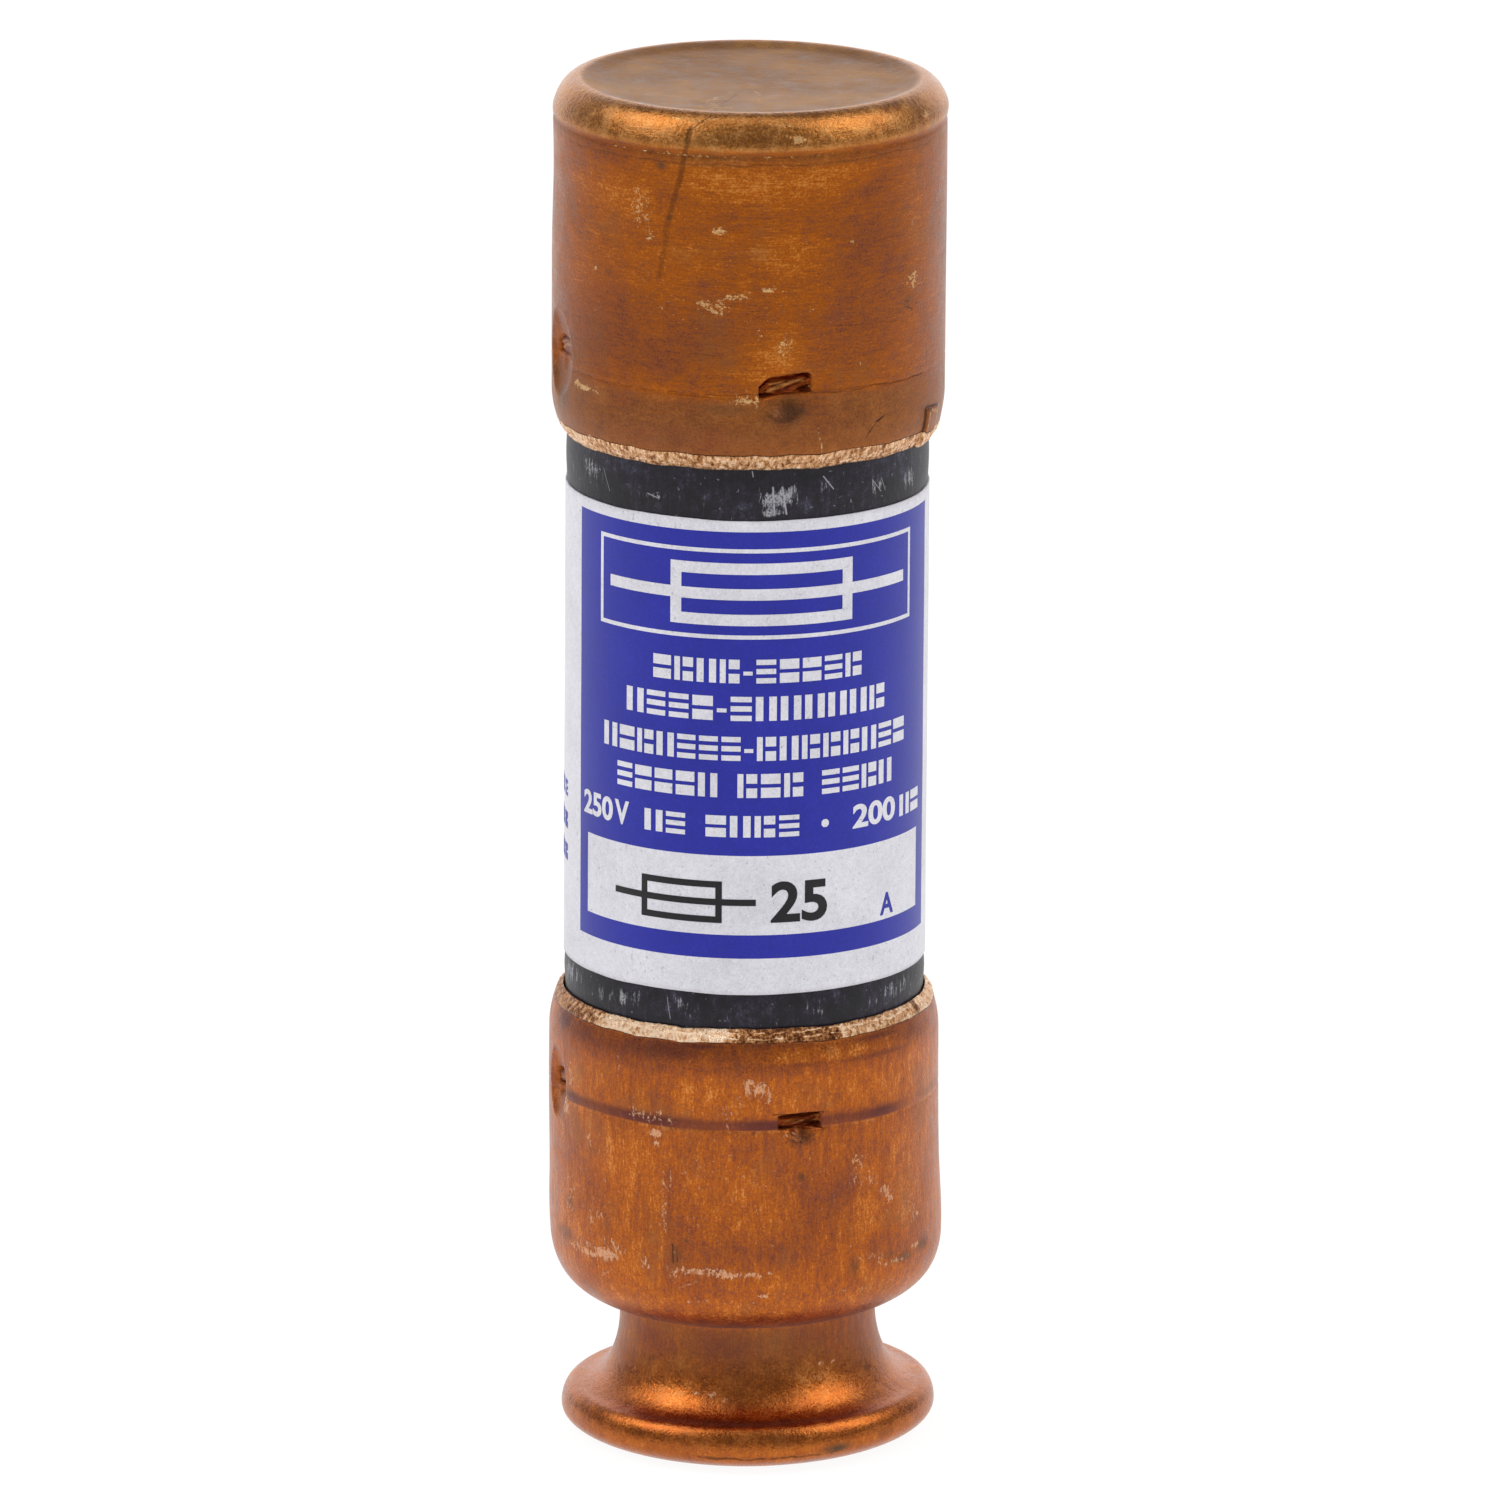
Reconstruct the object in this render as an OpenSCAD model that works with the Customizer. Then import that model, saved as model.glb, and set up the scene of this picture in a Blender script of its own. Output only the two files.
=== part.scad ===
// Time-delay cartridge fuse with a rejection ferrule.
// A copper ferrule is staked on each end of a fibre tube. Inside, a notched
// strip in sand clears short circuits, and a spring-loaded trigger, held by a
// low-melting alloy, clears overloads. The axis is Z; the rejection end is down,
// with its end face at Z = 0.

/* [Overall] */
// Length from end face to end face
overall_len = 50.8; // [48:0.1:54]
// Outside diameter of both ferrule barrels
ferrule_d = 14.29; // [14:0.01:14.6]
// Thickness of the drawn copper sheet
sheet_t = 0.55; // [0.45:0.01:0.58]

/* [Tube and label] */
// Outside diameter of the fibre tube
tube_d = 13.1; // [12.9:0.02:13.14]
// Wall thickness of the fibre tube
tube_wall = 1.2; // [1:0.05:1.3]
// Height of the tube's lower end face
tube_z0 = 8.4; // [8.2:0.1:9]
// Height of the tube's upper end face
tube_z1 = 48.5; // [48:0.1:48.6]
// Thickness of the paper label
label_t = 0.07; // [0.05:0.01:0.12]
// Lower edge of the label
label_z0 = 18.2; // [17.5:0.1:19]
// Upper edge of the label
label_z1 = 35.87; // [34:0.01:37]
// Width of the strip where the label overlaps itself, in degrees
label_lap = 14; // [8:1:30]

/* [Plain ferrule] */
// Height of the plain ferrule's cut rim
top_rim_z = 37.75; // [37:0.05:39]
// Corner radius of the crown, across
crown_r = 1.23; // [0.9:0.01:1.4]
// Depth of the dish in the end face
dish_depth = 0.3; // [0.15:0.05:0.4]
// Width of the sloping wall of the dish
dish_wall = 0.8; // [0.5:0.1:1.2]
// Height of the staking windows' lower edge
top_stake_z = 40.55; // [40.2:0.05:42]
// Bearing of the first stake, clockwise seen from above, from the front
top_stake_turn = 11; // [0:1:45]

/* [Rejection ferrule] */
// Height of the rejection ferrule's cut rim
low_rim_z = 16.88; // [16:0.01:17.4]
// Radial size of the rounded shoulder
shoulder_r = 2.3; // [2:0.1:2.4]
// Height of the rounded shoulder
shoulder_h = 2.8; // [2.4:0.1:3]
// Height of the shoulder's underside, the top of the groove
shoulder_z = 5.05; // [4.9:0.05:5.2]
// Diameter at the bottom of the rejection groove
neck_d = 9.44; // [9.3:0.02:9.6]
// Height where the neck starts to flare
neck_z = 4.4; // [4.2:0.1:4.5]
// Largest diameter of the end knob
knob_d = 13.72; // [13.4:0.02:13.9]
// Height of the knob's widest line
knob_mid_z = 0.9; // [0.8:0.05:1]
// Height of the knob's upper edge
knob_top_z = 1.75; // [1.65:0.05:1.9]
// Diameter of the knob's flat end face
knob_flat_d = 10.4; // [9.8:0.1:11]
// Height of the staking windows' lower edge
low_stake_z = 13.14; // [13:0.01:13.6]
// Bearing of the first stake, clockwise seen from above, from the front
low_stake_turn = 16.6; // [0:0.1:45]

/* [Stakes] */
// Stakes around each ferrule
stake_count = 4; // [3:1:6]
// Width of a staking window
stake_w = 1.85; // [1.2:0.05:2]
// Height of a staking window
stake_h = 0.82; // [0.6:0.02:0.9]
// Length of the tongue pressed in below the window
tongue_len = 1.6; // [1.2:0.1:1.8]
// How far the tongue's free edge is pressed in
tongue_in = 0.45; // [0.3:0.05:0.5]

/* [Short-circuit element] */
// Width of the copper strip
strip_w = 5; // [4:0.1:5.4]
// Thickness of the copper strip
strip_t = 0.25; // [0.2:0.01:0.3]
// Rows of notches that make its weak spots
notch_rows = 3; // [2:1:4]
// Radius of the notches and centre holes
notch_r = 1.05; // [0.8:0.05:1.1]

/* [Overload trigger] */
// Outside diameter of the barrel, sleeve and heat absorber
barrel_d = 6; // [5.6:0.1:6.4]
// Wall thickness of the trigger barrel
barrel_wall = 0.5; // [0.4:0.05:0.6]
// Diameter of the plunger's stem
stem_d = 2; // [1.8:0.1:2.2]
// Diameter of the plunger's flange
flange_d = 4.8; // [4.6:0.1:4.8]
// Travel of the plunger when the alloy melts
stroke = 3.2; // [2.6:0.1:3.2]
// Wire diameter of the trigger spring
wire_d = 0.34; // [0.3:0.02:0.4]
// Turns in the trigger spring
spring_turns = 5; // [4:0.5:6]

/* [Hidden] */

$fn = 96;
eps = 0.01;
clear = 0.02;       // gap between round pieces that seat in each other
slide_clear = 0.05; // radial gap around the moving plunger
arc_steps = 10;     // chords in a quarter of a formed corner
curl_in = 0.38;     // how far a ferrule's rim curls in
curl_h = 1.65;      // height over which it curls
edge_w = 0.45;      // height of the sloping cut edge of the rim
over = 1;           // how far a cutter runs past the face it cuts
slot_gap = 0.1;     // gap between a strip and the disc it passes through
pocket_gap = 0.1;   // gap on each side of a tongue in its pocket
pocket_in = 0.7;    // depth of a tongue's pocket in the fibre
pocket_over = 0.3;  // height of the pocket above the tongue's free edge

ferrule_r = ferrule_d / 2;
bore_r = ferrule_r - sheet_t;
tube_r = tube_d / 2;
tube_bore_r = tube_r - tube_wall;
disc_r = tube_bore_r - clear;
neck_r = neck_d / 2;
knob_r = knob_d / 2;
flat_r = knob_flat_d / 2;
ledge_r = knob_r - 0.55;      // where the flare meets the knob's edge
flare_in_r = ledge_r - 0.35;  // where the flare's inner face starts
knob_in_r = knob_r - sheet_t - 0.15; // the knob's wall is a little thicker

washer_t = 0.8;
washer_gap = 0.15;    // gap around the upper end washer
washer_in = 0.4;      // how far the lower end washer stands in from the tube
top_solder_r = 4.4;
bottom_solder_r = 4;
bottom_solder_h = 0.8;
strip_tab = 3;        // length of the strip's bent upper end
link_tab = 2.4;       // length of the link's bent upper end
link_z = 0.9;         // height of the link's lower end
ceiling_z = overall_len - dish_depth - sheet_t;
barrel_r = barrel_d / 2;
stem_r = stem_d / 2;
flange_r = flange_d / 2;
flange_t = 0.8;
flange_z = 14.7;
barrel_z = 10.9;
barrel_top_z = 19.3;
sleeve_top_z = 21.6;
spigot_h = 0.6;
seat_t = 0.3;
seat_z = barrel_top_z - spigot_h - seat_t;
absorber_top_z = 25;
pad_t = 0.6;
pad_r = 2.9;
socket_r = 1.5;
socket_z = 23.8;
plunger_top_z = 23.4;
barrier_z = absorber_top_z + pad_t;
link_w = 4;
edge_notch = 0.7;     // size of an edge notch, as a share of the centre hole
low_barrier_z = 9.7;
bead_in = 0.2;        // how far the solder bead stops short of the link's edges
bead_w = 0.8;
bead_h = 0.35;
spring_r = 1.9;
spring_z = flange_z + flange_t;

copper = "#9d5b29";
fibre = "#b08a5e";
solder = "#b9bcc0";

// Points of an ellipse about (cr, cz), from angle a0 to a1.
function arc(cr, cz, ra, rz, a0, a1) =
    [for (i = [0:arc_steps]) let (a = a0 + (a1 - a0) * i / arc_steps)
        [cr + ra * cos(a), cz + rz * sin(a)]];

// Outer face of a curled rim, from its cut edge back to the straight barrel.
// dir is 1 where the barrel lies above the rim, -1 where it lies below.
function curl(r, rim_z, dir) =
    [for (i = [0:arc_steps]) let (s = 1 - i / arc_steps,
        h = edge_w + (curl_h - edge_w) * (1 - s), k = 1 - h / curl_h)
        [r - curl_in * k * k, rim_z + dir * h]];

module slot(w, t, z0, h) {
    translate([-w / 2, -t / 2, z0]) cube([w, t, h]);
}

// A fibre disc with a slot for a strip.
module slotted_disc(r, z, h, w) {
    difference() {
        translate([0, 0, z]) cylinder(r = r, h = h);
        slot(w + 2 * slot_gap, strip_t + 2 * slot_gap, z - over, h + 2 * over);
    }
}

// Repeats a child made at the front, at each stake's bearing.
module at_stakes(turn) {
    for (i = [0:stake_count - 1]) rotate([0, 0, turn + i * 360 / stake_count]) children();
}

// The opening that staking leaves through a ferrule wall, tongue included.
module stake_window(z) {
    translate([-stake_w / 2, -ferrule_r - over, z - tongue_len])
        cube([stake_w, 1.5 * over + sheet_t, tongue_len + stake_h]);
}

// The tongue of wall below the window, its upper edge pressed inward.
module stake_tongue(z) {
    intersection() {
        translate([stake_w / 2, 0, 0]) rotate([0, 0, -90]) rotate([90, 0, 0])
            linear_extrude(stake_w) polygon([
                [ferrule_r, z - tongue_len], [ferrule_r - tongue_in, z],
                [bore_r - tongue_in, z], [bore_r, z - tongue_len]]);
        cylinder(r = ferrule_r - eps, h = overall_len);
    }
}

// A ferrule from its wall outline, with its stakes.
module staked_ferrule(outline, z, turn) {
    difference() {
        rotate_extrude() polygon(outline);
        at_stakes(turn) stake_window(z);
    }
    at_stakes(turn) stake_tongue(z);
}

// The pocket that a tongue presses into the fibre.
module tube_pocket(z) {
    translate([-stake_w / 2 - pocket_gap, -tube_r - over, z - tongue_len])
        cube([stake_w + 2 * pocket_gap, over + pocket_in, tongue_len + pocket_over]);
}

module tube() {
    color("#2c2a2e") difference() {
        translate([0, 0, tube_z0]) cylinder(r = tube_r, h = tube_z1 - tube_z0);
        translate([0, 0, tube_z0 - over])
            cylinder(r = tube_bore_r, h = tube_z1 - tube_z0 + 2 * over);
        at_stakes(top_stake_turn) tube_pocket(top_stake_z);
        at_stakes(low_stake_turn) tube_pocket(low_stake_z);
    }
}

module label() {
    label_h = label_z1 - label_z0;
    color("#d6d5dc") translate([0, 0, label_z0]) {
        difference() {
            cylinder(r = tube_r + label_t, h = label_h);
            translate([0, 0, -over]) cylinder(r = tube_r, h = label_h + 2 * over);
        }
        // the second layer, which starts half way through the first
        rotate([0, 0, 90]) rotate_extrude(angle = label_lap)
            translate([tube_r + label_t / 2, 0]) square([1.5 * label_t, label_h]);
    }
}

module top_ferrule() {
    crown_z = overall_len - crown_r;
    dish_r = ferrule_r - crown_r;
    floor_z = overall_len - dish_depth;
    outer = concat(
        [[bore_r, top_rim_z]],
        curl(ferrule_r, top_rim_z, 1),
        arc(ferrule_r - crown_r, crown_z, crown_r, crown_r, 0, 90),
        [[dish_r - dish_wall, floor_z], [0, floor_z]]);
    inner_corner = crown_r - sheet_t;
    inner = concat(
        [[0, ceiling_z]],
        arc(bore_r - inner_corner, ceiling_z - inner_corner, inner_corner, inner_corner, 90, 0));
    color(copper) staked_ferrule(concat(outer, inner), top_stake_z, top_stake_turn);
}

module rejection_ferrule() {
    inner_neck_r = neck_r - sheet_t;
    shoulder_mid = shoulder_z + shoulder_h;
    flare_w = ledge_r - neck_r;
    flare_h = neck_z - knob_top_z;
    outer = concat(
        [[bore_r, low_rim_z]],
        curl(ferrule_r, low_rim_z, -1),
        arc(ferrule_r - shoulder_r, shoulder_mid, shoulder_r, shoulder_h, 0, -90),
        [[neck_r, shoulder_z]],
        arc(ledge_r, neck_z, flare_w, flare_h, 180, 270),
        arc(ledge_r, knob_mid_z, knob_r - ledge_r, knob_top_z - knob_mid_z, 80, 0),
        arc(flat_r, knob_mid_z, knob_r - flat_r, knob_mid_z, -10, -90),
        [[0, 0]]);
    inner = concat(
        [[0, sheet_t], [flat_r, sheet_t], [knob_in_r, knob_mid_z]],
        arc(flare_in_r, neck_z, flare_in_r - inner_neck_r, flare_h + sheet_t, 270, 180),
        [[inner_neck_r, shoulder_z + sheet_t]],
        arc(ferrule_r - shoulder_r, shoulder_mid,
            shoulder_r - sheet_t, shoulder_h - sheet_t, -90, 0));
    color(copper) staked_ferrule(concat(outer, inner), low_stake_z, low_stake_turn);
}

module top_solder() {
    z = tube_z1 + washer_t;
    color(solder) difference() {
        translate([0, 0, z]) cylinder(r = top_solder_r, h = ceiling_z - z);
        translate([-strip_w / 2 - clear, -strip_t / 2 - clear, z - over])
            cube([strip_w + 2 * clear, strip_tab + 2 * clear, over + strip_t]);
    }
}

module bottom_solder() {
    color(solder) difference() {
        translate([0, 0, sheet_t]) cylinder(r = bottom_solder_r, h = bottom_solder_h);
        slot(link_w + 2 * clear, strip_t + 2 * clear, link_z, over);
    }
}

module top_end_washer() {
    color(fibre) slotted_disc(bore_r - washer_gap, tube_z1, washer_t, strip_w);
}

module bottom_end_washer() {
    color(fibre) slotted_disc(tube_r - washer_in, tube_z0 - washer_t, washer_t, link_w);
}

// The notched strip, bent over under the ferrule's end.
module short_circuit_strip() {
    top_z = tube_z1 + washer_t;
    span = tube_z1 - barrier_z;
    color("#b87333") {
        difference() {
            slot(strip_w, strip_t, absorber_top_z, top_z + strip_t - absorber_top_z);
            for (i = [1:notch_rows], x = [-1, 0, 1])
                translate([x * strip_w / 2, 0, barrier_z + span * i / (notch_rows + 1)])
                    rotate([90, 0, 0])
                        cylinder(r = notch_r * (x == 0 ? 1 : edge_notch), h = over, center = true);
        }
        translate([-strip_w / 2, -strip_t / 2, top_z]) cube([strip_w, strip_tab, strip_t]);
    }
}

module sand_filler() {
    z = barrier_z + washer_t;
    color("#d8cfb8") difference() {
        translate([0, 0, z]) cylinder(r = disc_r, h = tube_z1 - z);
        slot(strip_w + 2 * clear, strip_t + 2 * clear, z - over, tube_z1 - z + 2 * over);
    }
}

module upper_barrier_disc() {
    color(fibre) slotted_disc(disc_r, barrier_z, washer_t, strip_w);
}

module lower_barrier_disc() {
    color(fibre) slotted_disc(disc_r, low_barrier_z, washer_t, link_w);
}

// Copper slug that gathers the strip's heat and holds the plunger's tip.
module heat_absorber() {
    color("#a9652e") difference() {
        translate([0, 0, sleeve_top_z]) cylinder(r = barrel_r, h = absorber_top_z - sleeve_top_z);
        translate([0, 0, sleeve_top_z - over])
            cylinder(r = socket_r, h = socket_z - sleeve_top_z + over);
    }
}

module absorber_solder() {
    color(solder) difference() {
        translate([0, 0, absorber_top_z]) cylinder(r = pad_r, h = pad_t);
        slot(strip_w + 2 * clear, strip_t + 2 * clear, absorber_top_z - over, pad_t + 2 * over);
    }
}

module fusible_alloy() {
    color("#8f9296") difference() {
        translate([0, 0, sleeve_top_z])
            cylinder(r = socket_r - clear, h = socket_z - sleeve_top_z - clear);
        translate([0, 0, sleeve_top_z - over])
            cylinder(r = stem_r + slide_clear, h = plunger_top_z - sleeve_top_z + over + slide_clear);
    }
}

module insulating_sleeve() {
    color("#c9b48c") difference() {
        union() {
            translate([0, 0, barrel_top_z]) cylinder(r = barrel_r, h = sleeve_top_z - barrel_top_z);
            translate([0, 0, barrel_top_z - spigot_h])
                cylinder(r = barrel_r - barrel_wall - clear, h = spigot_h + eps);
        }
        translate([0, 0, barrel_top_z - spigot_h - over])
            cylinder(r = stem_r + slide_clear, h = sleeve_top_z - barrel_top_z + spigot_h + 2 * over);
    }
}

module trigger_barrel() {
    color("#c9a24a") difference() {
        translate([0, 0, barrel_z]) cylinder(r = barrel_r, h = barrel_top_z - barrel_z);
        translate([0, 0, barrel_z + barrel_wall])
            cylinder(r = barrel_r - barrel_wall, h = barrel_top_z - barrel_z);
    }
}

module trigger_plunger() {
    color("#b8763a") {
        translate([0, 0, flange_z]) cylinder(r = flange_r, h = flange_t);
        translate([0, 0, flange_z]) cylinder(r = stem_r, h = plunger_top_z - flange_z);
    }
}

// Compression spring, a round wire swept along a helix.
module trigger_spring() {
    sides = 8;
    per_turn = 24;
    free_h = seat_z - spring_z - wire_d;
    rings = spring_turns * per_turn;
    pts = [for (i = [0:rings]) let (a = 360 * i / per_turn, z = spring_z + wire_d / 2 + free_h * i / rings)
        for (j = [0:sides - 1]) let (b = 360 * j / sides, r = spring_r + wire_d / 2 * cos(b))
            [r * cos(a), r * sin(a), z + wire_d / 2 * sin(b)]];
    skin = [for (i = [0:rings - 1]) for (j = [0:sides - 1]) let (k = (j + 1) % sides)
        each [[i * sides + j, i * sides + k, (i + 1) * sides + k],
              [i * sides + j, (i + 1) * sides + k, (i + 1) * sides + j]]];
    caps = [[for (j = [sides - 1:-1:0]) j], [for (j = [0:sides - 1]) rings * sides + j]];
    color("#8d9096") polyhedron(points = pts, faces = concat(skin, caps), convexity = 6);
}

module spring_seat_washer() {
    color("#a8abb0") difference() {
        translate([0, 0, seat_z]) cylinder(r = flange_r, h = seat_t);
        translate([0, 0, seat_z - over])
            cylinder(r = stem_r + 3 * slide_clear, h = seat_t + 2 * over);
    }
}

// Strip from the barrel's floor down to the knob, bent over at its top.
module bottom_link() {
    color("#b87333") {
        slot(link_w, strip_t, link_z, barrel_z - link_z);
        translate([-link_w / 2, -strip_t / 2, barrel_z - strip_t]) cube([link_w, link_tab, strip_t]);
    }
}

// Bead of solder along the front of the bent link, under the barrel.
module link_solder() {
    w = link_w - 2 * bead_in;
    color(solder) translate([-w / 2, -strip_t / 2, barrel_z]) mirror([0, 1, 0])
        rotate([0, 90, 0]) linear_extrude(w) polygon([[0, 0], [bead_h, 0], [0, bead_w]]);
}

tube();
label();
top_ferrule();
rejection_ferrule();
top_solder();
bottom_solder();
top_end_washer();
bottom_end_washer();
short_circuit_strip();
sand_filler();
upper_barrier_disc();
lower_barrier_disc();
heat_absorber();
absorber_solder();
fusible_alloy();
insulating_sleeve();
trigger_barrel();
trigger_plunger();
trigger_spring();
spring_seat_washer();
bottom_link();
link_solder();
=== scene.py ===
"""Looks of a time-delay cartridge fuse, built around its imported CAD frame.

Lengths below are in millimetres unless a name says otherwise, and MM turns them
into metres. A bearing is an angle in degrees round the axis, 0 at the front (-Y)
and 90 at +X.
"""

import math

import bmesh
import bpy
import numpy as np
from mathutils import Matrix, Vector

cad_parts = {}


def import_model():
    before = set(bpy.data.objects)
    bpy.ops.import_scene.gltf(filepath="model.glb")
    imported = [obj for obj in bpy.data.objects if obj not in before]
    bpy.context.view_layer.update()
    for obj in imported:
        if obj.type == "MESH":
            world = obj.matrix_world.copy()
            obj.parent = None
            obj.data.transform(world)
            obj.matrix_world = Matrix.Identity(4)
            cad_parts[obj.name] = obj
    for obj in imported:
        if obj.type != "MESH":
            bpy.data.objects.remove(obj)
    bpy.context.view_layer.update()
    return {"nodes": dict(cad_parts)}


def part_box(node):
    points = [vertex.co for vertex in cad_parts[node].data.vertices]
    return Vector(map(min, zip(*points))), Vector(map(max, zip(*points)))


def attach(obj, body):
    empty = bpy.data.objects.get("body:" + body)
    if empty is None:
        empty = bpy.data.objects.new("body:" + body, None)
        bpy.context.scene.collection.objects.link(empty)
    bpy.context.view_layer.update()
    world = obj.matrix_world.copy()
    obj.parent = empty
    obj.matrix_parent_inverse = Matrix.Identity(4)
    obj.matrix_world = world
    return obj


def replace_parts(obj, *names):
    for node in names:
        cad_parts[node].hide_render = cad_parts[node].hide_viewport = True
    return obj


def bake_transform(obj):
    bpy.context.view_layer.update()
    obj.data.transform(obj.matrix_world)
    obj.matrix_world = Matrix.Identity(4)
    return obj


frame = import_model()

MM = 0.001
BODY = "fuse_body"


def box_mm(node):
    """Lowest and highest corner of a CAD node, in mm."""
    low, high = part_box(node)
    return [c / MM for c in low], [c / MM for c in high]


LENGTH = box_mm("top_ferrule")[1][2]
BARREL_R = box_mm("top_ferrule")[1][0]
TOP_RIM = box_mm("top_ferrule")[0][2]
LOW_RIM = box_mm("rejection_ferrule")[1][2]
TUBE_R = box_mm("tube")[1][0]
TUBE_Z0, TUBE_Z1 = box_mm("tube")[0][2], box_mm("tube")[1][2]
LABEL_R = box_mm("label")[1][0]
LABEL_Z0, LABEL_Z1 = box_mm("label")[0][2], box_mm("label")[1][2]
BORE_R = TUBE_R + 0.045
SHEET = BARREL_R - BORE_R
COLUMNS = 420


# ---------------------------------------------------------------- small maths

def smooth(x):
    """0 below 0, 1 above 1, and an S between."""
    x = np.clip(x, 0.0, 1.0)
    return x * x * (3 - 2 * x)


def hump(x, width):
    """1 at 0, falling to nothing past about two widths."""
    return np.exp(-((x / width) ** 2))


def turn_between(bearing, centre):
    """Signed degrees from centre to bearing, the short way round."""
    return (bearing - centre + 180.0) % 360.0 - 180.0


def ripple(bearing, z, size, seed):
    """A gentle unevenness, with no jump where the turn closes."""
    b = np.radians(bearing)
    total = 0.0
    for k in range(1, 6):
        phase = seed * 2.3 + k * k * 1.7
        total = total + np.sin((k + 1) * b + phase + z * (0.35 * k - 1.0)) / k
    return size * total / 2


def rough_edge(count, size, blur, seed):
    """Seeded unevenness along an edge, with no jump where it meets itself."""
    values = np.random.default_rng(seed).normal(size=count)
    kernel = np.hanning(2 * blur + 3)
    padded = np.concatenate([values[-len(kernel):], values, values[:len(kernel)]])
    soft = np.convolve(padded, kernel / np.sqrt((kernel**2).sum()), "same")
    return size * soft[len(kernel):len(kernel) + count]


# -------------------------------------------------------------------- meshes

def link_new(name, data):
    """A new object in the scene, that holds data."""
    made = bpy.data.objects.new(name, data)
    bpy.context.scene.collection.objects.link(made)
    return made


def add_object(name, mesh):
    """Links a mesh made in metres, and rides it on the fuse's body."""
    made = link_new(name, mesh)
    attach(made, BODY)
    return made


def lathe(name, r, z, bearings, flip, poles=None):
    """A closed turned mesh from rows by columns of radius and height.

    flip turns its faces over. poles are the heights where the outline starts and ends
    on the axis. Without them the last row joins the first.
    """
    rows, columns = r.shape
    b = np.radians(bearings)[None, :]
    points = np.stack([r * np.sin(b), -r * np.cos(b), z], -1).reshape(-1, 3)
    index = np.arange(rows * columns).reshape(rows, columns)
    below = index[1:] if poles else np.roll(index, -1, 0)
    above = index[:-1] if poles else index
    quads = np.stack(
        [above, below, np.roll(below, -1, 1), np.roll(above, -1, 1)], -1
    ).reshape(-1, 4)
    faces = quads[:, ::-1].tolist() if flip else quads.tolist()
    if poles:
        first, last = len(points), len(points) + 1
        points = np.vstack([points, [[0, 0, poles[0]], [0, 0, poles[1]]]])
        for j in range(columns):
            k = (j + 1) % columns
            start = [first, index[0, j], index[0, k]]
            end = [last, index[-1, k], index[-1, j]]
            faces += [start[::-1], end[::-1]] if flip else [start, end]
    mesh = bpy.data.meshes.new(name)
    mesh.from_pydata((points * MM).tolist(), [], faces)
    mesh.polygons.foreach_set("use_smooth", np.ones(len(faces), bool))
    return mesh


def turned_grid(rows, bearings):
    """Radius, height and bearing, each by row and column, from an outline's rows."""
    rows = np.array(rows)
    r = np.repeat(rows[:, :1], len(bearings), 1)
    z = np.repeat(rows[:, 1:], len(bearings), 1)
    return r, z, np.broadcast_to(bearings, r.shape)


PAIR_TURN, PAIR_H = 0.05, 0.012
ROW_STEP = 0.086


def columns_with(edges, count=COLUMNS):
    """Evenly spread bearings, with a close pair at each sharp edge."""
    even = np.linspace(-180, 180, count, endpoint=False)
    sharp = [turn_between(e + s, 0) for e in edges for s in (-PAIR_TURN, PAIR_TURN)]
    keep = [b for b in even if all(abs(turn_between(b, s)) > 0.3 for s in sharp)]
    return np.array(sorted(keep + sharp))


def heights_with(low, high, edges):
    """Evenly spread heights from low to high, with a close pair at each sharp edge."""
    even = np.linspace(low, high, round((high - low) / ROW_STEP) + 1)
    sharp = [e + s for e in edges for s in (-PAIR_H, PAIR_H) if low < e < high]
    keep = [z for z in even if all(abs(z - s) > ROW_STEP / 3 for s in sharp)]
    return np.array(sorted(keep + sharp))


def soft_marks(marks, bearing, z, radius=BARREL_R):
    """Soft-edged marks, each (bearing, height, half width, half height, strength).

    Marks of one sign don't add up: the strongest counts.
    """
    high = np.zeros(np.broadcast(bearing, z).shape)
    low = high.copy()
    for centre, height, wide, tall, strength in marks:
        across = np.radians(turn_between(bearing, centre)) * radius / wide
        up = (z - height) / tall
        value = strength * np.exp(-((across**2 + up**2) ** 1.3))
        high, low = np.maximum(high, value), np.minimum(low, value)
    return high + low


def paint(mesh, layer, marks, bearing, z, radius=BARREL_R):
    """Writes soft-edged marks as a number on each vertex, for the material to read."""
    store(mesh, layer, soft_marks(marks, bearing, z, radius))


def store(mesh, layer, value):
    """One number on each vertex; the poles, if any, get 0."""
    flat = np.zeros(len(mesh.vertices), np.float32)
    flat[:value.size] = value.ravel()
    mesh.attributes.new(layer, "FLOAT", "POINT").data.foreach_set("value", flat)


# ------------------------------------------------------------ material nodes

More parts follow.
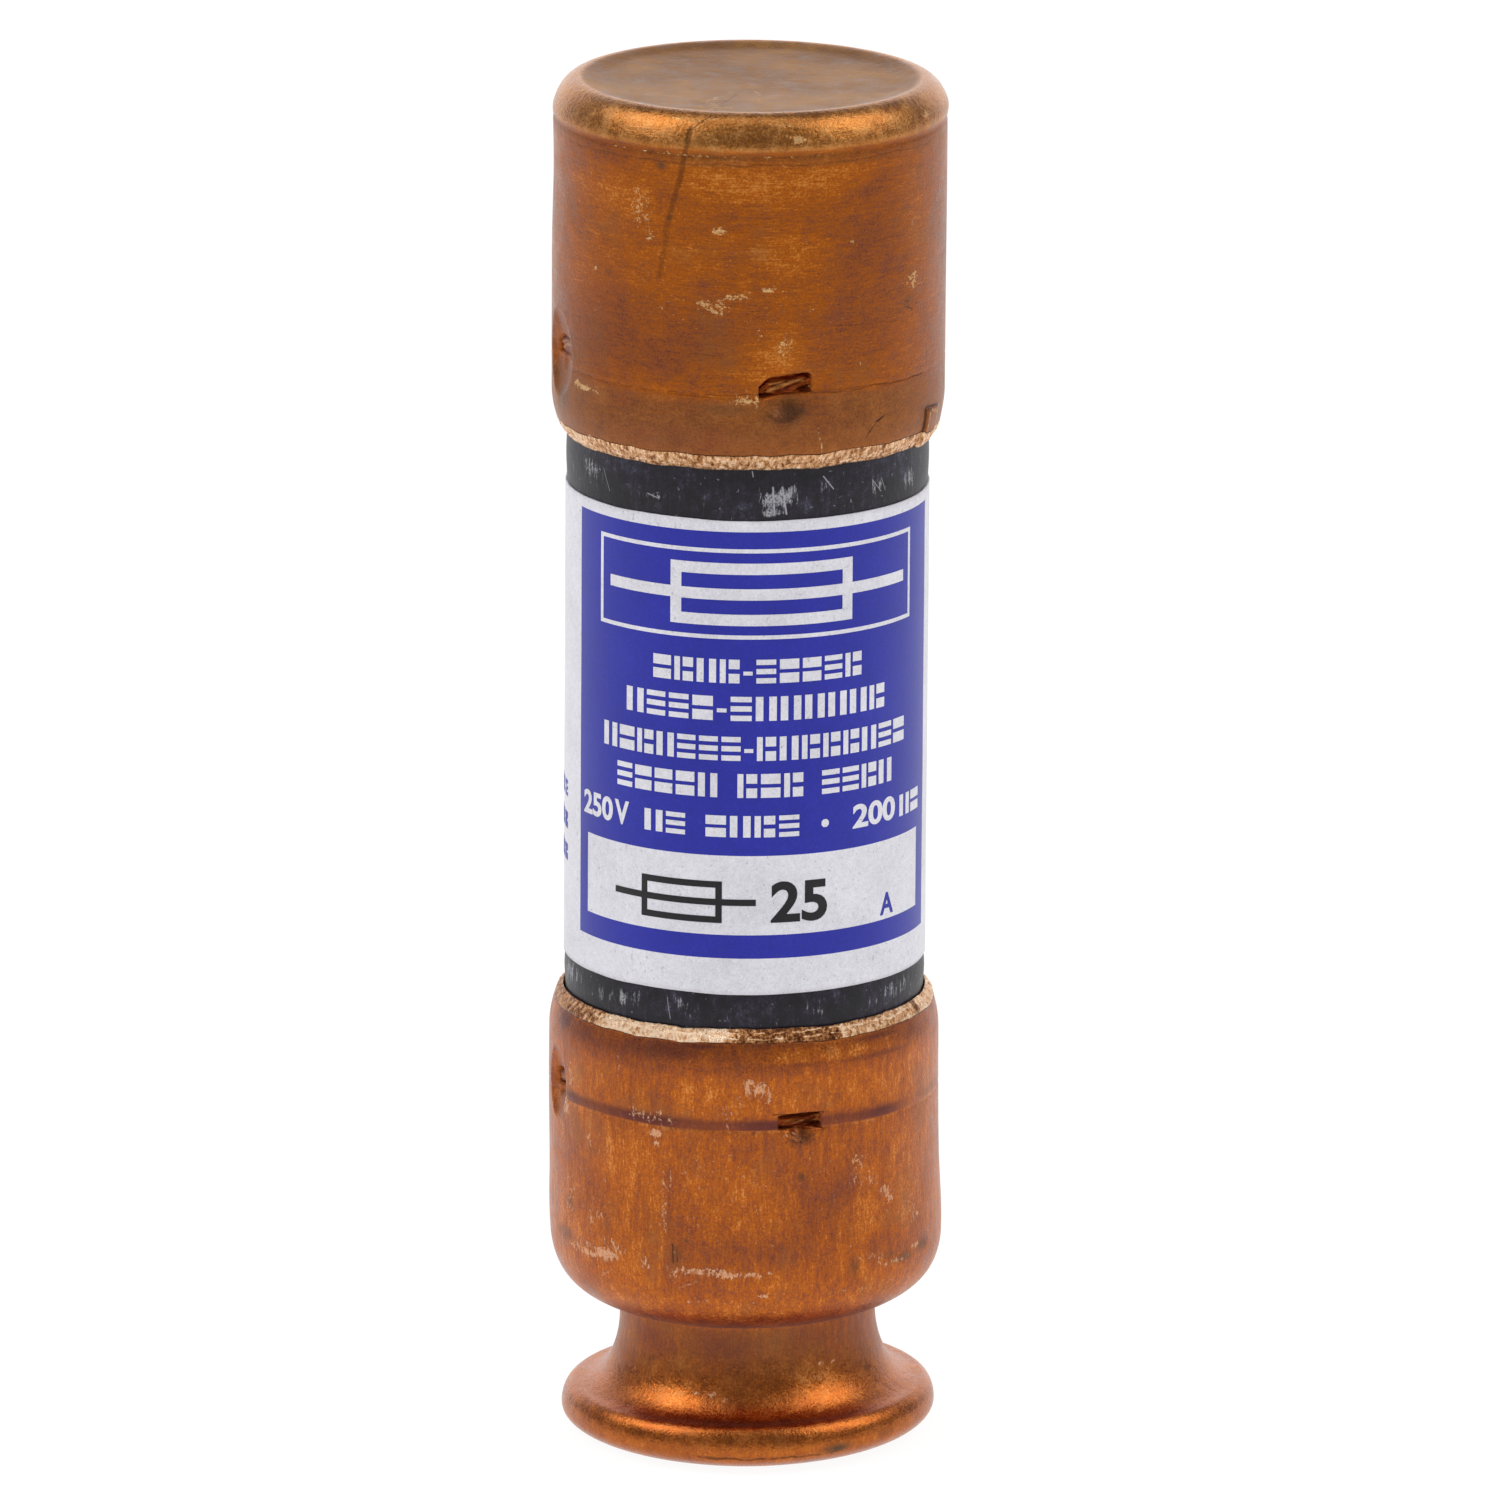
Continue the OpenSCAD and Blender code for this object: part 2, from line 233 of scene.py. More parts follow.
class Graph:
    """One node material, built a node at a time."""

    def __init__(self, name):
        self.material = bpy.data.materials.new(name)
        self.material.use_nodes = True
        self.tree = self.material.node_tree
        self.tree.nodes.clear()
        self.place = self.stretch(self.node("TexCoord").outputs["Object"], 1 / MM)

    def node(self, kind, inputs=None, **settings):
        made = self.tree.nodes.new("ShaderNode" + kind)
        for key, value in settings.items():
            setattr(made, key, value)
        for key, value in (inputs or {}).items():
            if isinstance(value, bpy.types.NodeSocket):
                self.tree.links.new(value, made.inputs[key])
            else:
                made.inputs[key].default_value = value
        return made

    def math(self, operation, a, b):
        return self.node("Math", {0: a, 1: b}, operation=operation).outputs[0]

    def times(self, a, b):
        return self.math("MULTIPLY", a, b)

    def plus(self, a, b):
        return self.math("ADD", a, b)

    def most(self, a, b):
        return self.math("MAXIMUM", a, b)

    def stretch(self, vector, amount):
        scale = amount if isinstance(amount, tuple) else (amount,) * 3
        return self.node("VectorMath", {0: vector, 1: scale}, operation="MULTIPLY").outputs[0]

    def noise(self, scale, detail, roughness, stretch=(1.0, 1.0, 1.0), shift=0.0):
        vector = self.stretch(self.place, stretch)
        if shift:
            vector = self.node("VectorMath", {0: vector, 1: (shift,) * 3}, operation="ADD").outputs[0]
        inputs = {"Vector": vector, "Scale": scale, "Detail": detail, "Roughness": roughness}
        return self.node("TexNoise", inputs).outputs["Fac"]

    def step(self, value, low, high, top=1.0):
        """0 below low, top above high, and an S between."""
        inputs = {"Value": value, "From Min": low, "From Max": high, "To Min": 0.0, "To Max": top}
        return self.node("MapRange", inputs, interpolation_type="SMOOTHSTEP").outputs["Result"]

    def blend_of(self, base, parts):
        """base plus each noise's distance from its middle, times its weight."""
        total = base
        for noise, weight in parts:
            total = self.plus(total, self.times(self.math("SUBTRACT", noise, 0.5), weight))
        return total

    def ramp(self, value, stops):
        """Colours along a scale from 0 to 1. A stop is (place, colour)."""
        made = self.node("ValToRGB", {"Fac": value})
        elements = made.color_ramp.elements
        while len(elements) < len(stops):
            elements.new(0.5)
        for element, (place, color) in zip(elements, stops):
            element.position = place
            element.color = (*color, 1.0)
        return made.outputs["Color"]

    def mix(self, factor, a, b):
        """Colour a where factor is 0, and b where it is 1."""
        def full(c):
            return (*c, 1.0) if isinstance(c, tuple) else c
        made = self.node("Mix", {0: factor, 6: full(a), 7: full(b)}, data_type="RGBA")
        return made.outputs[2]

    def layer(self, name):
        return self.node("Attribute", attribute_name=name).outputs["Fac"]

    def unrolled(self):
        """Distance round the barrel and height, in mm, as a vector."""
        split = self.node("SeparateXYZ", {0: self.place}).outputs
        around = self.math("ARCTAN2", split["X"], self.times(split["Y"], -1.0))
        inputs = {"X": self.times(around, BARREL_R), "Y": split["Z"], "Z": 0.0}
        return self.node("CombineXYZ", inputs).outputs[0]

    def scratches(self, unrolled, lines):
        """Thin lines on the unrolled barrel.

        A line is (bearing, height, bearing, height, half width, strength).
        """
        total = 0.0
        for b0, z0, b1, z1, half, strength in lines:
            start = Vector((math.radians(b0) * BARREL_R, z0, 0))
            along = Vector((math.radians(b1) * BARREL_R, z1, 0)) - start
            rel = self.node("VectorMath", {0: unrolled, 1: start}, operation="SUBTRACT").outputs[0]
            slope = along / along.length_squared
            dot = self.node("VectorMath", {0: rel, 1: slope}, operation="DOT_PRODUCT").outputs["Value"]
            share = self.node("Clamp", {"Value": dot}).outputs[0]
            foot = self.node("VectorMath", {0: along, "Scale": share}, operation="SCALE").outputs[0]
            away = self.node("VectorMath", {0: rel, 1: foot}, operation="SUBTRACT").outputs[0]
            length = self.node("VectorMath", {0: away}, operation="LENGTH").outputs["Value"]
            line = self.step(length, half, half * 0.3, strength)
            total = line if total == 0.0 else self.most(total, line)
        return total

    def finish(self, color, roughness, height=None, depth=1.0, **constants):
        """Ends the material in a Principled shader. depth is the bump's height, in mm."""
        inputs = {"Base Color": color, "Roughness": roughness}
        if height is not None:
            bump = {"Height": height, "Distance": depth * MM, "Strength": 1.0}
            inputs["Normal"] = self.node("Bump", bump).outputs[0]
        shader = self.node("BsdfPrincipled", inputs)
        for key, value in constants.items():
            shader.inputs[key.replace("_", " ")].default_value = value
        out = self.node("OutputMaterial", {"Surface": shader.outputs[0]})
        out.is_active_output = True
        return self.material


# ------------------------------------------------------------------ ferrules

CURL_H, CURL_IN = 1.65, 0.38
CURL_ROWS, CUT_ROWS = 14, 9
TOP_EDGE_H, LOW_EDGE_H = 0.56, 0.42


class Stake:
    """One place where a punch has pressed the ferrule's wall into the tube."""

    def __init__(self, bearing, lip, size, tongue, dent, tilt=0.0, arch=0.0):
        self.bearing, self.lip = bearing, lip
        self.width, self.tall = size
        self.tongue_w, self.tongue_h = tongue
        self.dent, self.dent_w, self.dent_h, self.dent_rim = dent
        self.tilt, self.arch = tilt, arch

    def place(self, bearing, z):
        """Distance round from the middle and height above the lip."""
        u = np.radians(turn_between(bearing, self.bearing)) * BARREL_R
        return u, z - self.lip + np.zeros_like(u)

    def lift(self, bearing, z):
        """How far the rows rise near the window, for its slant and its rounded top."""
        u, v = self.place(bearing, z)
        slant = self.tilt * u * hump(u, 2.2) * hump(v - self.tall / 2, 1.6)
        low_end = smooth((-u - self.width * 0.26) / (self.width * 0.26)) ** 1.5
        high_end = smooth((u - self.width * 0.40) / (self.width * 0.12))
        near = smooth(v / self.tall) * hump(np.maximum(v - self.tall, 0), 0.5)
        past = hump(np.maximum(abs(u) - self.width / 2, 0), 0.3)
        return slant - self.arch * (low_end + 0.5 * high_end) * near * past

    def inside(self, bearing, z):
        """1 inside the window, 0 outside."""
        u, v = self.place(bearing, z)
        return (abs(u) < self.width / 2) * (v > 0) * (v < self.tall) * 1.0

    def depth(self, bearing, z):
        """How far the wall is pressed in."""
        u, v = self.place(bearing, z)
        half = self.width / 2
        floor = 0.43 - 0.20 * v / self.tall + 0.03 * np.sin(8 * u + 2) * np.sin(21 * v)
        floor = floor - 0.15 * hump(v - self.tall * 0.45 - 0.24 * u, 0.10) * hump(u + 0.1, 0.6)
        floor = floor + 0.22 * hump((v - self.tall * 0.93) / 0.08, 1.0)
        cut = self.inside(bearing, z) * floor
        bowl = 1 - (u / self.tongue_w) ** 2 - (np.minimum(v, 0) / self.tongue_h) ** 2
        tongue = (v <= 0) * 0.40 * np.clip(bowl, 0, 1) ** 1.4
        drag = 0.03 * hump(np.maximum(abs(u) - half, 0), 0.3) * hump(v - 0.3, 0.6)
        far = np.sqrt((u / self.dent_w) ** 2 + ((v - 0.15) / self.dent_h) ** 2)
        soft = 1 - smooth((far - 0.25) / 0.75)
        crisp = np.clip(1 - far**2.6, 0, 1) ** 0.8
        dent = self.dent * (soft + (crisp - soft) * self.dent_rim)
        return np.maximum(np.maximum(cut, tongue), drag + dent)


# Each dent is its depth, half width, half height, and how crisp its rim is.
TOP_STAKES = [
    Stake(10.9, 40.58, (1.96, 0.76), (0.88, 0.95), (0.05, 1.4, 1.2, 0.0), tilt=0.13, arch=0.30),
    Stake(101.0, 40.66, (1.9, 0.7), (0.9, 1.1), (0.14, 1.5, 1.3, 0.3), tilt=-0.05, arch=0.2),
    Stake(191.0, 40.58, (1.9, 0.76), (0.9, 1.0), (0.10, 1.7, 1.3, 0.0), tilt=0.08, arch=0.2),
    Stake(-73.5, 40.85, (1.7, 0.7), (0.95, 1.4), (0.32, 1.28, 1.6, 1.0), tilt=-0.03, arch=0.3),
]
LOW_STAKES = [
    Stake(17.0, 13.15, (1.68, 0.64), (0.52, 0.44), (0.03, 1.1, 0.9, 0.0), tilt=0.02, arch=0.05),
    Stake(107.0, 13.2, (1.62, 0.64), (0.6, 0.7), (0.10, 1.2, 1.1, 0.3), tilt=0.03, arch=0.1),
    Stake(197.0, 13.15, (1.62, 0.64), (0.6, 0.6), (0.08, 1.3, 1.1, 0.0), tilt=-0.03, arch=0.1),
    Stake(-73.0, 13.45, (1.25, 0.64), (0.7, 0.9), (0.26, 0.92, 1.35, 1.0), tilt=0.02, arch=0.15),
]


def pressed_in(stakes, bearing, z):
    total = 0.0
    for s in stakes:
        total = np.maximum(total, s.depth(bearing, z))
    return total


def rows_lift(stakes, bearing, z):
    return sum(s.lift(bearing, z) for s in stakes)


def in_window(stakes, bearing, z):
    return sum(s.inside(bearing, z) for s in stakes)


def window_edges(stakes):
    """The heights of the windows' lower and upper edges, leaving out near repeats."""
    edges = []
    for z in (s.lip + h for s in stakes for h in (0.0, s.tall)):
        if all(abs(z - other) > 0.03 for other in edges):
            edges.append(z)
    return edges


THIN_WALL = 0.3


def inner_radius(depth):
    """The ferrule's inner wall, which follows where the outer one is pressed in."""
    return BORE_R + np.minimum(0, SHEET - THIN_WALL - depth)


def curl_rows(rim, away, edge_h):
    """The barrel's curled end, from where it starts to the cut edge's outer corner."""
    h = np.linspace(CURL_H, edge_h, CURL_ROWS + 1)[1:]
    k = 1 - h / CURL_H
    return [(BARREL_R - CURL_IN * ki * ki, rim + away * hi) for ki, hi in zip(k, h)]


def cut_rows(rim, away, edge_h):
    """The rounded cut edge, from its outer corner in to the bore."""
    outer_r = BARREL_R - CURL_IN * (1 - edge_h / CURL_H) ** 2
    t = np.linspace(0, 1, CUT_ROWS + 1)[1:]
    inner_r = BORE_R + 0.04
    return [(outer_r + (inner_r - outer_r) * ti, rim + away * edge_h * (1 - ti**0.75)) for ti in t]


def ellipse_rows(cr, cz, ra, rz, a0, a1, count):
    a = np.radians(np.linspace(a0, a1, count + 1))
    return [(cr + ra * math.cos(t), cz + rz * math.sin(t)) for t in a]


def between(p, q, count):
    """Points from p to q, without p."""
    t = np.linspace(0, 1, count + 1)[1:]
    return [(p[0] + (q[0] - p[0]) * ti, p[1] + (q[1] - p[1]) * ti) for ti in t]


CROWN_W, CROWN_H = 0.98, 1.36
DISH = 0.3
RIDGE_R = BARREL_R - CROWN_W
CREASE_Z = LENGTH - CROWN_H
CEILING_Z = LENGTH - DISH - SHEET


def top_outline():
    """Rows from the middle of the dish out, down the barrel, and back up inside.

    Returns the rows of the outer face, cut edge included, and those of the inner one.
    """
    dish = []
    for r in np.linspace(0.3, RIDGE_R, 30):
        bowl = DISH * (1 - 0.62 * (r / RIDGE_R) ** 2.4 - 0.38 * smooth((r - 5.35) / 0.75))
        dish.append((r, LENGTH - bowl))
    crown = ellipse_rows(RIDGE_R, CREASE_Z, CROWN_W, CROWN_H, 90, 0, 26)[1:]
    lips = window_edges(TOP_STAKES)
    wall_z = heights_with(TOP_RIM + CURL_H, CREASE_Z, lips)[::-1][1:]
    wall = [(BARREL_R, z) for z in wall_z]
    outer = dish + crown + wall + curl_rows(TOP_RIM, 1, TOP_EDGE_H) + cut_rows(TOP_RIM, 1, TOP_EDGE_H)
    corner = CROWN_W - SHEET
    inner = between((BORE_R, TOP_RIM + 0.1), (BORE_R, CEILING_Z - corner), 22)
    inner += ellipse_rows(BORE_R - corner, CEILING_Z - corner, corner, corner, 0, 90, 4)[1:]
    inner += between(inner[-1], (0.3, CEILING_Z), 3)
    return outer, inner


SHOULDER_R, SHOULDER_H, SHOULDER_Z = 2.39, 2.7, 5.05
NECK_R, NECK_Z = 4.70, 4.4
KNOB_R, KNOB_MID_Z, KNOB_TOP_Z, KNOB_FLAT_R = 6.86, 0.9, 1.75, 5.2
LEDGE_R = KNOB_R - 0.55


def shoulder_rows(thin, count):
    """The full round shoulder, from the neck up to the barrel, made smaller by thin."""
    t = np.linspace(1, 0, count + 1) ** 0.8
    w, h = SHOULDER_R - thin * 0.3, SHOULDER_H - thin
    base = SHOULDER_Z + SHOULDER_H
    return [(BARREL_R - thin - w * (1 - (1 - x**2.9) ** 0.68), base - h * x) for x in t]


def low_outline():
    """Rows from the middle of the end face out, up the barrel, and back down inside."""
    end = between((0.25, 0.0), (KNOB_FLAT_R, 0.0), 7)
    edge = ellipse_rows(KNOB_FLAT_R, KNOB_MID_Z, KNOB_R - KNOB_FLAT_R, KNOB_MID_Z, -90, 0, 16)[1:]
    ledge_h = KNOB_TOP_Z - KNOB_MID_Z
    edge += ellipse_rows(LEDGE_R, KNOB_MID_Z, KNOB_R - LEDGE_R, ledge_h, 0, 80, 12)[1:]
    flare_w, flare_h = LEDGE_R - 0.05 - NECK_R, NECK_Z - KNOB_TOP_Z
    flare = ellipse_rows(LEDGE_R - 0.05, NECK_Z, flare_w, flare_h, 267, 180, 24)
    neck = between((NECK_R, NECK_Z), (NECK_R, SHOULDER_Z - 0.07), 5)
    corner = [(NECK_R + 0.02, SHOULDER_Z - 0.02), (NECK_R + 0.06, SHOULDER_Z - 0.005)]
    shoulder = shoulder_rows(0.0, 30)
    mid_z = SHOULDER_Z + SHOULDER_H
    lips = window_edges(LOW_STAKES)
    wall_z = heights_with(mid_z, LOW_RIM - CURL_H, lips)[1:]
    wall = [(BARREL_R, z) for z in wall_z]
    outer = end + edge + flare + neck + corner + shoulder + wall
    outer += curl_rows(LOW_RIM, -1, LOW_EDGE_H) + cut_rows(LOW_RIM, -1, LOW_EDGE_H)
    inner = between((BORE_R, LOW_RIM - 0.1), (BORE_R, mid_z), 16)
    inner += shoulder_rows(SHEET, 10)[::-1][1:]
    inner_neck = NECK_R - SHEET
    inner += between(inner[-1], (inner_neck, SHOULDER_Z), 2)
    inner += between(inner[-1], (inner_neck, NECK_Z), 2)
    inner += ellipse_rows(
        LEDGE_R - 0.4, NECK_Z, LEDGE_R - 0.4 - inner_neck, flare_h + SHEET, 180, 265, 8
    )[1:]
    inner += between(inner[-1], (KNOB_R - SHEET - 0.15, KNOB_MID_Z), 2)
    inner += between(inner[-1], (KNOB_FLAT_R, SHEET), 2)
    inner += between(inner[-1], (0.25, SHEET), 2)
    return outer, inner


def top_wear(bearing, z):
    """Small changes of radius over the plain ferrule: wobble, crown crease, crimp line."""
    wear = ripple(bearing, z, 0.012, 1)
    wear = wear - 0.07 * hump(turn_between(bearing, -90), 38) * hump(z - 47.6, 2.0)
    wear = wear + 0.09 * hump(turn_between(bearing, 90), 40) * smooth((z - 49.5) / 0.5)
    wear = wear - 0.04 * hump(z - 49.42, 0.07) + 0.02 * hump(z - 49.75, 0.2)
    crimp = 40.66 + 0.02 * np.sin(np.radians(bearing) * 3)
    wear = wear - 0.012 * hump(z - crimp, 0.06) - 0.012 * smooth((crimp - z) / 0.5)
    fold = smooth((turn_between(bearing, 64.2) / 1.0)) * smooth((76 - bearing) / 4)
    return wear + 0.09 * fold * smooth((39.25 - z) / 0.12)


def low_wear(bearing, z):
    """Small changes of radius over the rejection ferrule: wobble, bulge, heat line."""
    wear = ripple(bearing, z, 0.013, 2) * smooth((z - 4.5) / 2)
    wear = wear + 0.07 * hump(z - 8.3, 1.5) * smooth((z - 6.2) / 1.2)
    wear = wear - 0.014 * hump(z - 13.2, 0.08)
    wear = wear + ripple(bearing, z * 2, 0.02, 5) * (1 - smooth((z - 4.6) / 0.8))
    return wear


TOP_SAG = 0.16
LOW_SLOPE = 0.05


def rim_shift(bearings, away, seed):
    """How far each column's rim lies from its true height: ragged, torn or sloping."""
    count = len(bearings)
    ragged = rough_edge(count, 0.014, 2, seed) + rough_edge(count, 0.035, 10, seed + 1)
    turn = turn_between(bearings, 0)
    hang = TOP_SAG * smooth((turn - 64.5) / 1.5) * smooth((118 - turn) / 12) * (away > 0)
    slope = LOW_SLOPE * np.sin(np.radians(bearings)) * (away < 0)
    return ragged * away - hang + slope


def turned_ferrule(name, outline, stakes, wear, edge, poles, seed):
    """A ferrule with stakes, wear and a ragged cut edge.

    edge is the rim's height, which way the barrel lies from it, and its cut's height.
    Returns the mesh, the bearing and height of each point, and a mark for the cut
    edge. The marks for the windows and the inner face are stored on the mesh.
    """
    outer, inner = outline
    rim, away, edge_h = edge
    sides = [
        s.bearing + side * math.degrees(s.width / 2 / BARREL_R) for s in stakes for side in (-1, 1)
    ]
    bearings = columns_with(sides)
    r, z, b = turned_grid(outer + inner, bearings)
    n = len(outer)
    on_barrel = smooth((r - 5.6) / 0.9)
    depth = pressed_in(stakes, b, z) * on_barrel
    r[:n] += (on_barrel * wear(b, z) - depth)[:n]
    near_rim = smooth(1 - abs(z - (rim + away * edge_h * 0.6)) / (edge_h * 1.2)) * on_barrel
    z[:n] += (near_rim * rim_shift(bearings, away, seed)[None, :])[:n]
    is_cut = np.zeros(r.shape)
    is_cut[n - CUT_ROWS - 1:n] = 1.0
    pits = np.random.default_rng(seed + 2).normal(size=r.shape) * 0.014
    r[n - CUT_ROWS:n - 1] += pits[n - CUT_ROWS:n - 1]
    wall = abs(r[n:] - BORE_R) < 1e-6
    r[n:] = np.where(wall, inner_radius(depth[n:]), r[n:])
    shift = rows_lift(stakes, b, z) * on_barrel
    mesh = lathe(name, r, z + shift, bearings, away < 0, poles)
    window = in_window(stakes, b, z) * on_barrel
    window[n:] = 0
    # Marks the inner face, which the material paints near black: painted shade.
    inside = np.zeros(r.shape)
    inside[n:] = 1.0
    store(mesh, "window", window)
    store(mesh, "inside", inside)
    return mesh, b, z, is_cut


def on_stake(stake, lines):
    """Lines given from a stake's middle and lip, as lines on the barrel."""
    def turn(u):
        return stake.bearing + math.degrees(u / BARREL_R)
    return [
        (turn(u0), stake.lip + v0, turn(u1), stake.lip + v1, half, strength)
        for u0, v0, u1, v1, half, strength in lines
    ]


TOP_PALE = [
    (-33, 47.2, 0.60, 0.9, 0.62), (-8.5, 46.65, 0.35, 0.24, 0.90), (-10, 43.9, 0.9, 0.26, 0.75),
    (-3, 44.25, 0.8, 0.2, 0.75), (10.5, 42.3, 0.6, 0.6, 0.58), (55.5, 44.2, 0.55, 0.4, 0.72),
    (-57, 40.2, 1.0, 0.18, 0.85), (14.5, 49.95, 0.40, 0.2, 0.95), (-1, 40.55, 0.7, 0.26, 0.80),
    (-33, 47.3, 0.55, 1.0, 0.55), (-30, 46.3, 0.35, 0.35, 0.7), (-35, 47.9, 0.25, 0.3, 0.6),
    (-9.4, 46.65, 0.22, 0.18, 1.0), (-7.6, 46.6, 0.1, 0.16, 1.0), (0.2, 48.6, 0.12, 0.07, 0.8),
    (-12, 44.05, 0.5, 0.12, 0.7), (-9.8, 43.7, 0.16, 0.1, 1.5), (-8, 43.65, 0.1, 0.08, 1.2),
    (-4, 44.25, 0.7, 0.1, 0.75), (5.5, 44.5, 0.35, 0.16, 1.0), (12, 44.45, 0.8, 0.08, 0.6),
    (16.7, 46.3, 0.08, 0.25, 0.8), (31.3, 46.1, 0.25, 0.12, 0.8), (55.4, 46.3, 0.2, 0.3, 0.7),
    (56.4, 44.45, 0.16, 0.14, 1.0), (56, 43.95, 0.14, 0.12, 0.9), (52, 44.2, 0.4, 0.1, 0.5),
    (7.2, 43.3, 0.08, 0.08, 1.0), (10.5, 42.5, 0.14, 0.3, 0.8), (3, 42.9, 0.4, 0.5, 0.5),
    (-1.0, 40.55, 0.5, 0.2, 0.85), (2.6, 40.55, 0.12, 0.22, 0.9), (-56, 40.17, 0.5, 0.14, 1.0),
    (-60, 40.3, 0.2, 0.2, 0.8), (-50, 40.1, 0.3, 0.12, 0.7), (-40, 44.9, 0.3, 0.1, 0.6),
    (-51, 44.7, 0.12, 0.12, 0.9), (-45, 45.2, 0.1, 0.1, 0.9), (-26, 43.7, 0.1, 0.15, 0.8),
    (34, 41.5, 0.08, 0.08, 0.9), (-55, 38.4, 0.2, 0.1, 0.8), (18.9, 40.75, 0.12, 0.14, 0.7),
    (-20, 49.38, 3.2, 0.07, 0.78), (10, 49.38, 2.4, 0.06, 0.72), (-42, 49.36, 1.6, 0.06, 0.7),
    (64, 50.1, 0.4, 0.2, 0.8), (-5, 50.1, 5, 0.5, 0.38),
    (0, 44, 8, 3.4, 0.36), (-60, 44, 5, 4, 0.33), (66, 45, 2, 4, 0.36),
    (150, 45, 1.2, 0.5, 0.7), (-140, 43, 0.6, 1.4, 0.7), (110, 47, 0.5, 0.5, 0.7),
    (175, 41, 2.0, 0.2, 0.7), (-105, 47.5, 0.9, 0.3, 0.7), (150, 44, 12, 4, 0.34),
]
# Dark marks: real smudges, and painted shade in the dimples just below the stakes' lips.
TOP_GRIME_AND_SHADE = [
    (-26.2, 48.9, 0.17, 0.13, 0.75), (12, 39.95, 0.75, 0.42, 0.55), (-23.9, 47.0, 0.12, 0.1, 0.6),
    (53, 43.5, 0.5, 0.25, 0.3), (-8, 40.2, 1.4, 0.18, 0.30), (-45, 44.7, 0.1, 0.1, 0.6),
    (-70, 39.4, 0.6, 0.5, 0.4), (100, 44, 2.5, 2.5, 0.2), (-150, 46, 2.5, 1.8, 0.25),
]
TOP_WARM = [
    (-38, 47.8, 3.0, 1.1, 0.22), (-5, 48.4, 4.0, 0.8, 0.26), (12, 45.8, 1.6, 0.9, 0.26),
    (9, 42.2, 1.1, 0.9, 0.30), (25, 48.6, 2.0, 0.6, 0.18), (-12, 45.5, 2.0, 1.0, 0.12),
    (38, 45.3, 2.6, 2.4, -0.14), (28, 43.2, 2.2, 1.0, -0.14), (-42, 42.6, 3.0, 1.4, -0.16),
    (-14, 42.6, 2.2, 0.9, -0.12), (58, 45.0, 2.4, 4.6, 0.12), (30, 39.4, 4.0, 1.1, -0.22),
    (-30, 39.2, 5.0, 1.1, -0.22), (0, 38.9, 3.0, 0.8, -0.15), (-22, 40.6, 3.0, 0.3, 0.12),
    (110, 46, 4, 2, -0.2), (160, 44, 3, 2, 0.2), (-130, 42, 4, 2, -0.2), (-160, 47, 3, 1.4, 0.2),
]
TOP_PLUM = [
    (-20, 38.9, 5.0, 0.7, 0.30), (-52, 43.0, 1.4, 2.0, 0.35), (22, 42.0, 1.4, 0.8, 0.18),
    (60, 42.0, 1.4, 1.2, 0.15), (0, 43.2, 1.2, 0.6, 0.20), (-35, 50.3, 3, 0.5, 0.2),
]
TOP_LINES_DARK = [
    (-17.4, 50.3, -20.9, 48.3, 0.17, 0.50), (-20.9, 48.3, -23.9, 47.0, 0.17, 0.45),
    (-23.9, 47.0, -26.4, 44.9, 0.16, 0.32), (-17.6, 49.9, -20.9, 48.3, 0.06, 0.55),
    (-20.9, 48.3, -25.2, 46.0, 0.05, 0.35), (-16.5, 50.35, -12.5, 50.75, 0.07, 0.5),
    (37.2, 38.75, 38.3, 38.95, 0.07, 0.9), (40.8, 39.3, 43.4, 39.5, 0.06, 0.9),
    (38.6, 39.0, 40.2, 39.2, 0.04, 0.5), (64.0, 39.25, 64.2, 38.2, 0.09, 0.9),
    (64.2, 39.28, 74.0, 39.15, 0.07, 0.8), (63.0, 38.4, 62.0, 37.9, 0.07, 0.7),
    (-62, 40.66, 3, 40.66, 0.04, 0.35), (19, 40.64, 62, 40.62, 0.05, 0.45),
    (-50, 42.2, -8, 42.1, 0.03, 0.3), (20, 43.1, 48, 42.9, 0.03, 0.3),
    (48.5, 43.7, 57.5, 43.3, 0.04, 0.5), (50.5, 43.4, 55.5, 43.1, 0.04, 0.5),
    (-66, 49.05, 66, 49.12, 0.06, 0.25), (120, 45, 128, 43.4, 0.06, 0.6), (-130, 47, -124, 45.2, 0.06, 0.6),
]
TOP_LINES_PALE = [
    (20.8, 39.35, 21.3, 38.95, 0.05, 0.7), (21.4, 38.95, 22.6, 38.45, 0.05, 0.8),
    (-36.9, 46.9, -34.2, 48.0, 0.05, 0.45), (-34.2, 48.0, -31.0, 46.7, 0.05, 0.45),
    (-30.4, 46.9, -29.2, 46.2, 0.05, 0.7), (-31.8, 47.9, -30.2, 47.2, 0.04, 0.5),
    (-14.0, 43.95, -6.0, 44.15, 0.06, 0.5), (-6.0, 44.15, 0.2, 44.4, 0.06, 0.55),
    (9.2, 42.4, 10.6, 42.9, 0.05, 0.6), (11.4, 42.1, 12.4, 42.7, 0.05, 0.5),
    (66.0, 39.0, 66.3, 38.1, 0.08, 0.8), (68.0, 39.1, 73.0, 38.9, 0.08, 0.8),
    (-3.4, 40.75, -2.6, 40.3, 0.05, 0.7), (-0.6, 40.8, 0.5, 40.25, 0.05, 0.8),
    (1.6, 40.7, 2.5, 40.2, 0.05, 0.8), (-57, 40.2, -52.5, 40.1, 0.07, 0.6),
    (-28, 50.55, -8, 50.62, 0.05, 0.6), (6, 50.5, 16, 50.4, 0.05, 0.6), (10, 50.1, 18, 49.9, 0.04, 0.5),
    (160, 44.6, 150, 43.2, 0.06, 0.7), (-100, 46.2, -88, 46.6, 0.05, 0.6),
]
# Painted highlight lines along the cut edge.
TOP_EDGE_HIGHLIGHTS = [(-60, 37.95, -20, 37.9, 0.03, 0.6), (20, 37.92, 60, 37.98, 0.03, 0.5)]


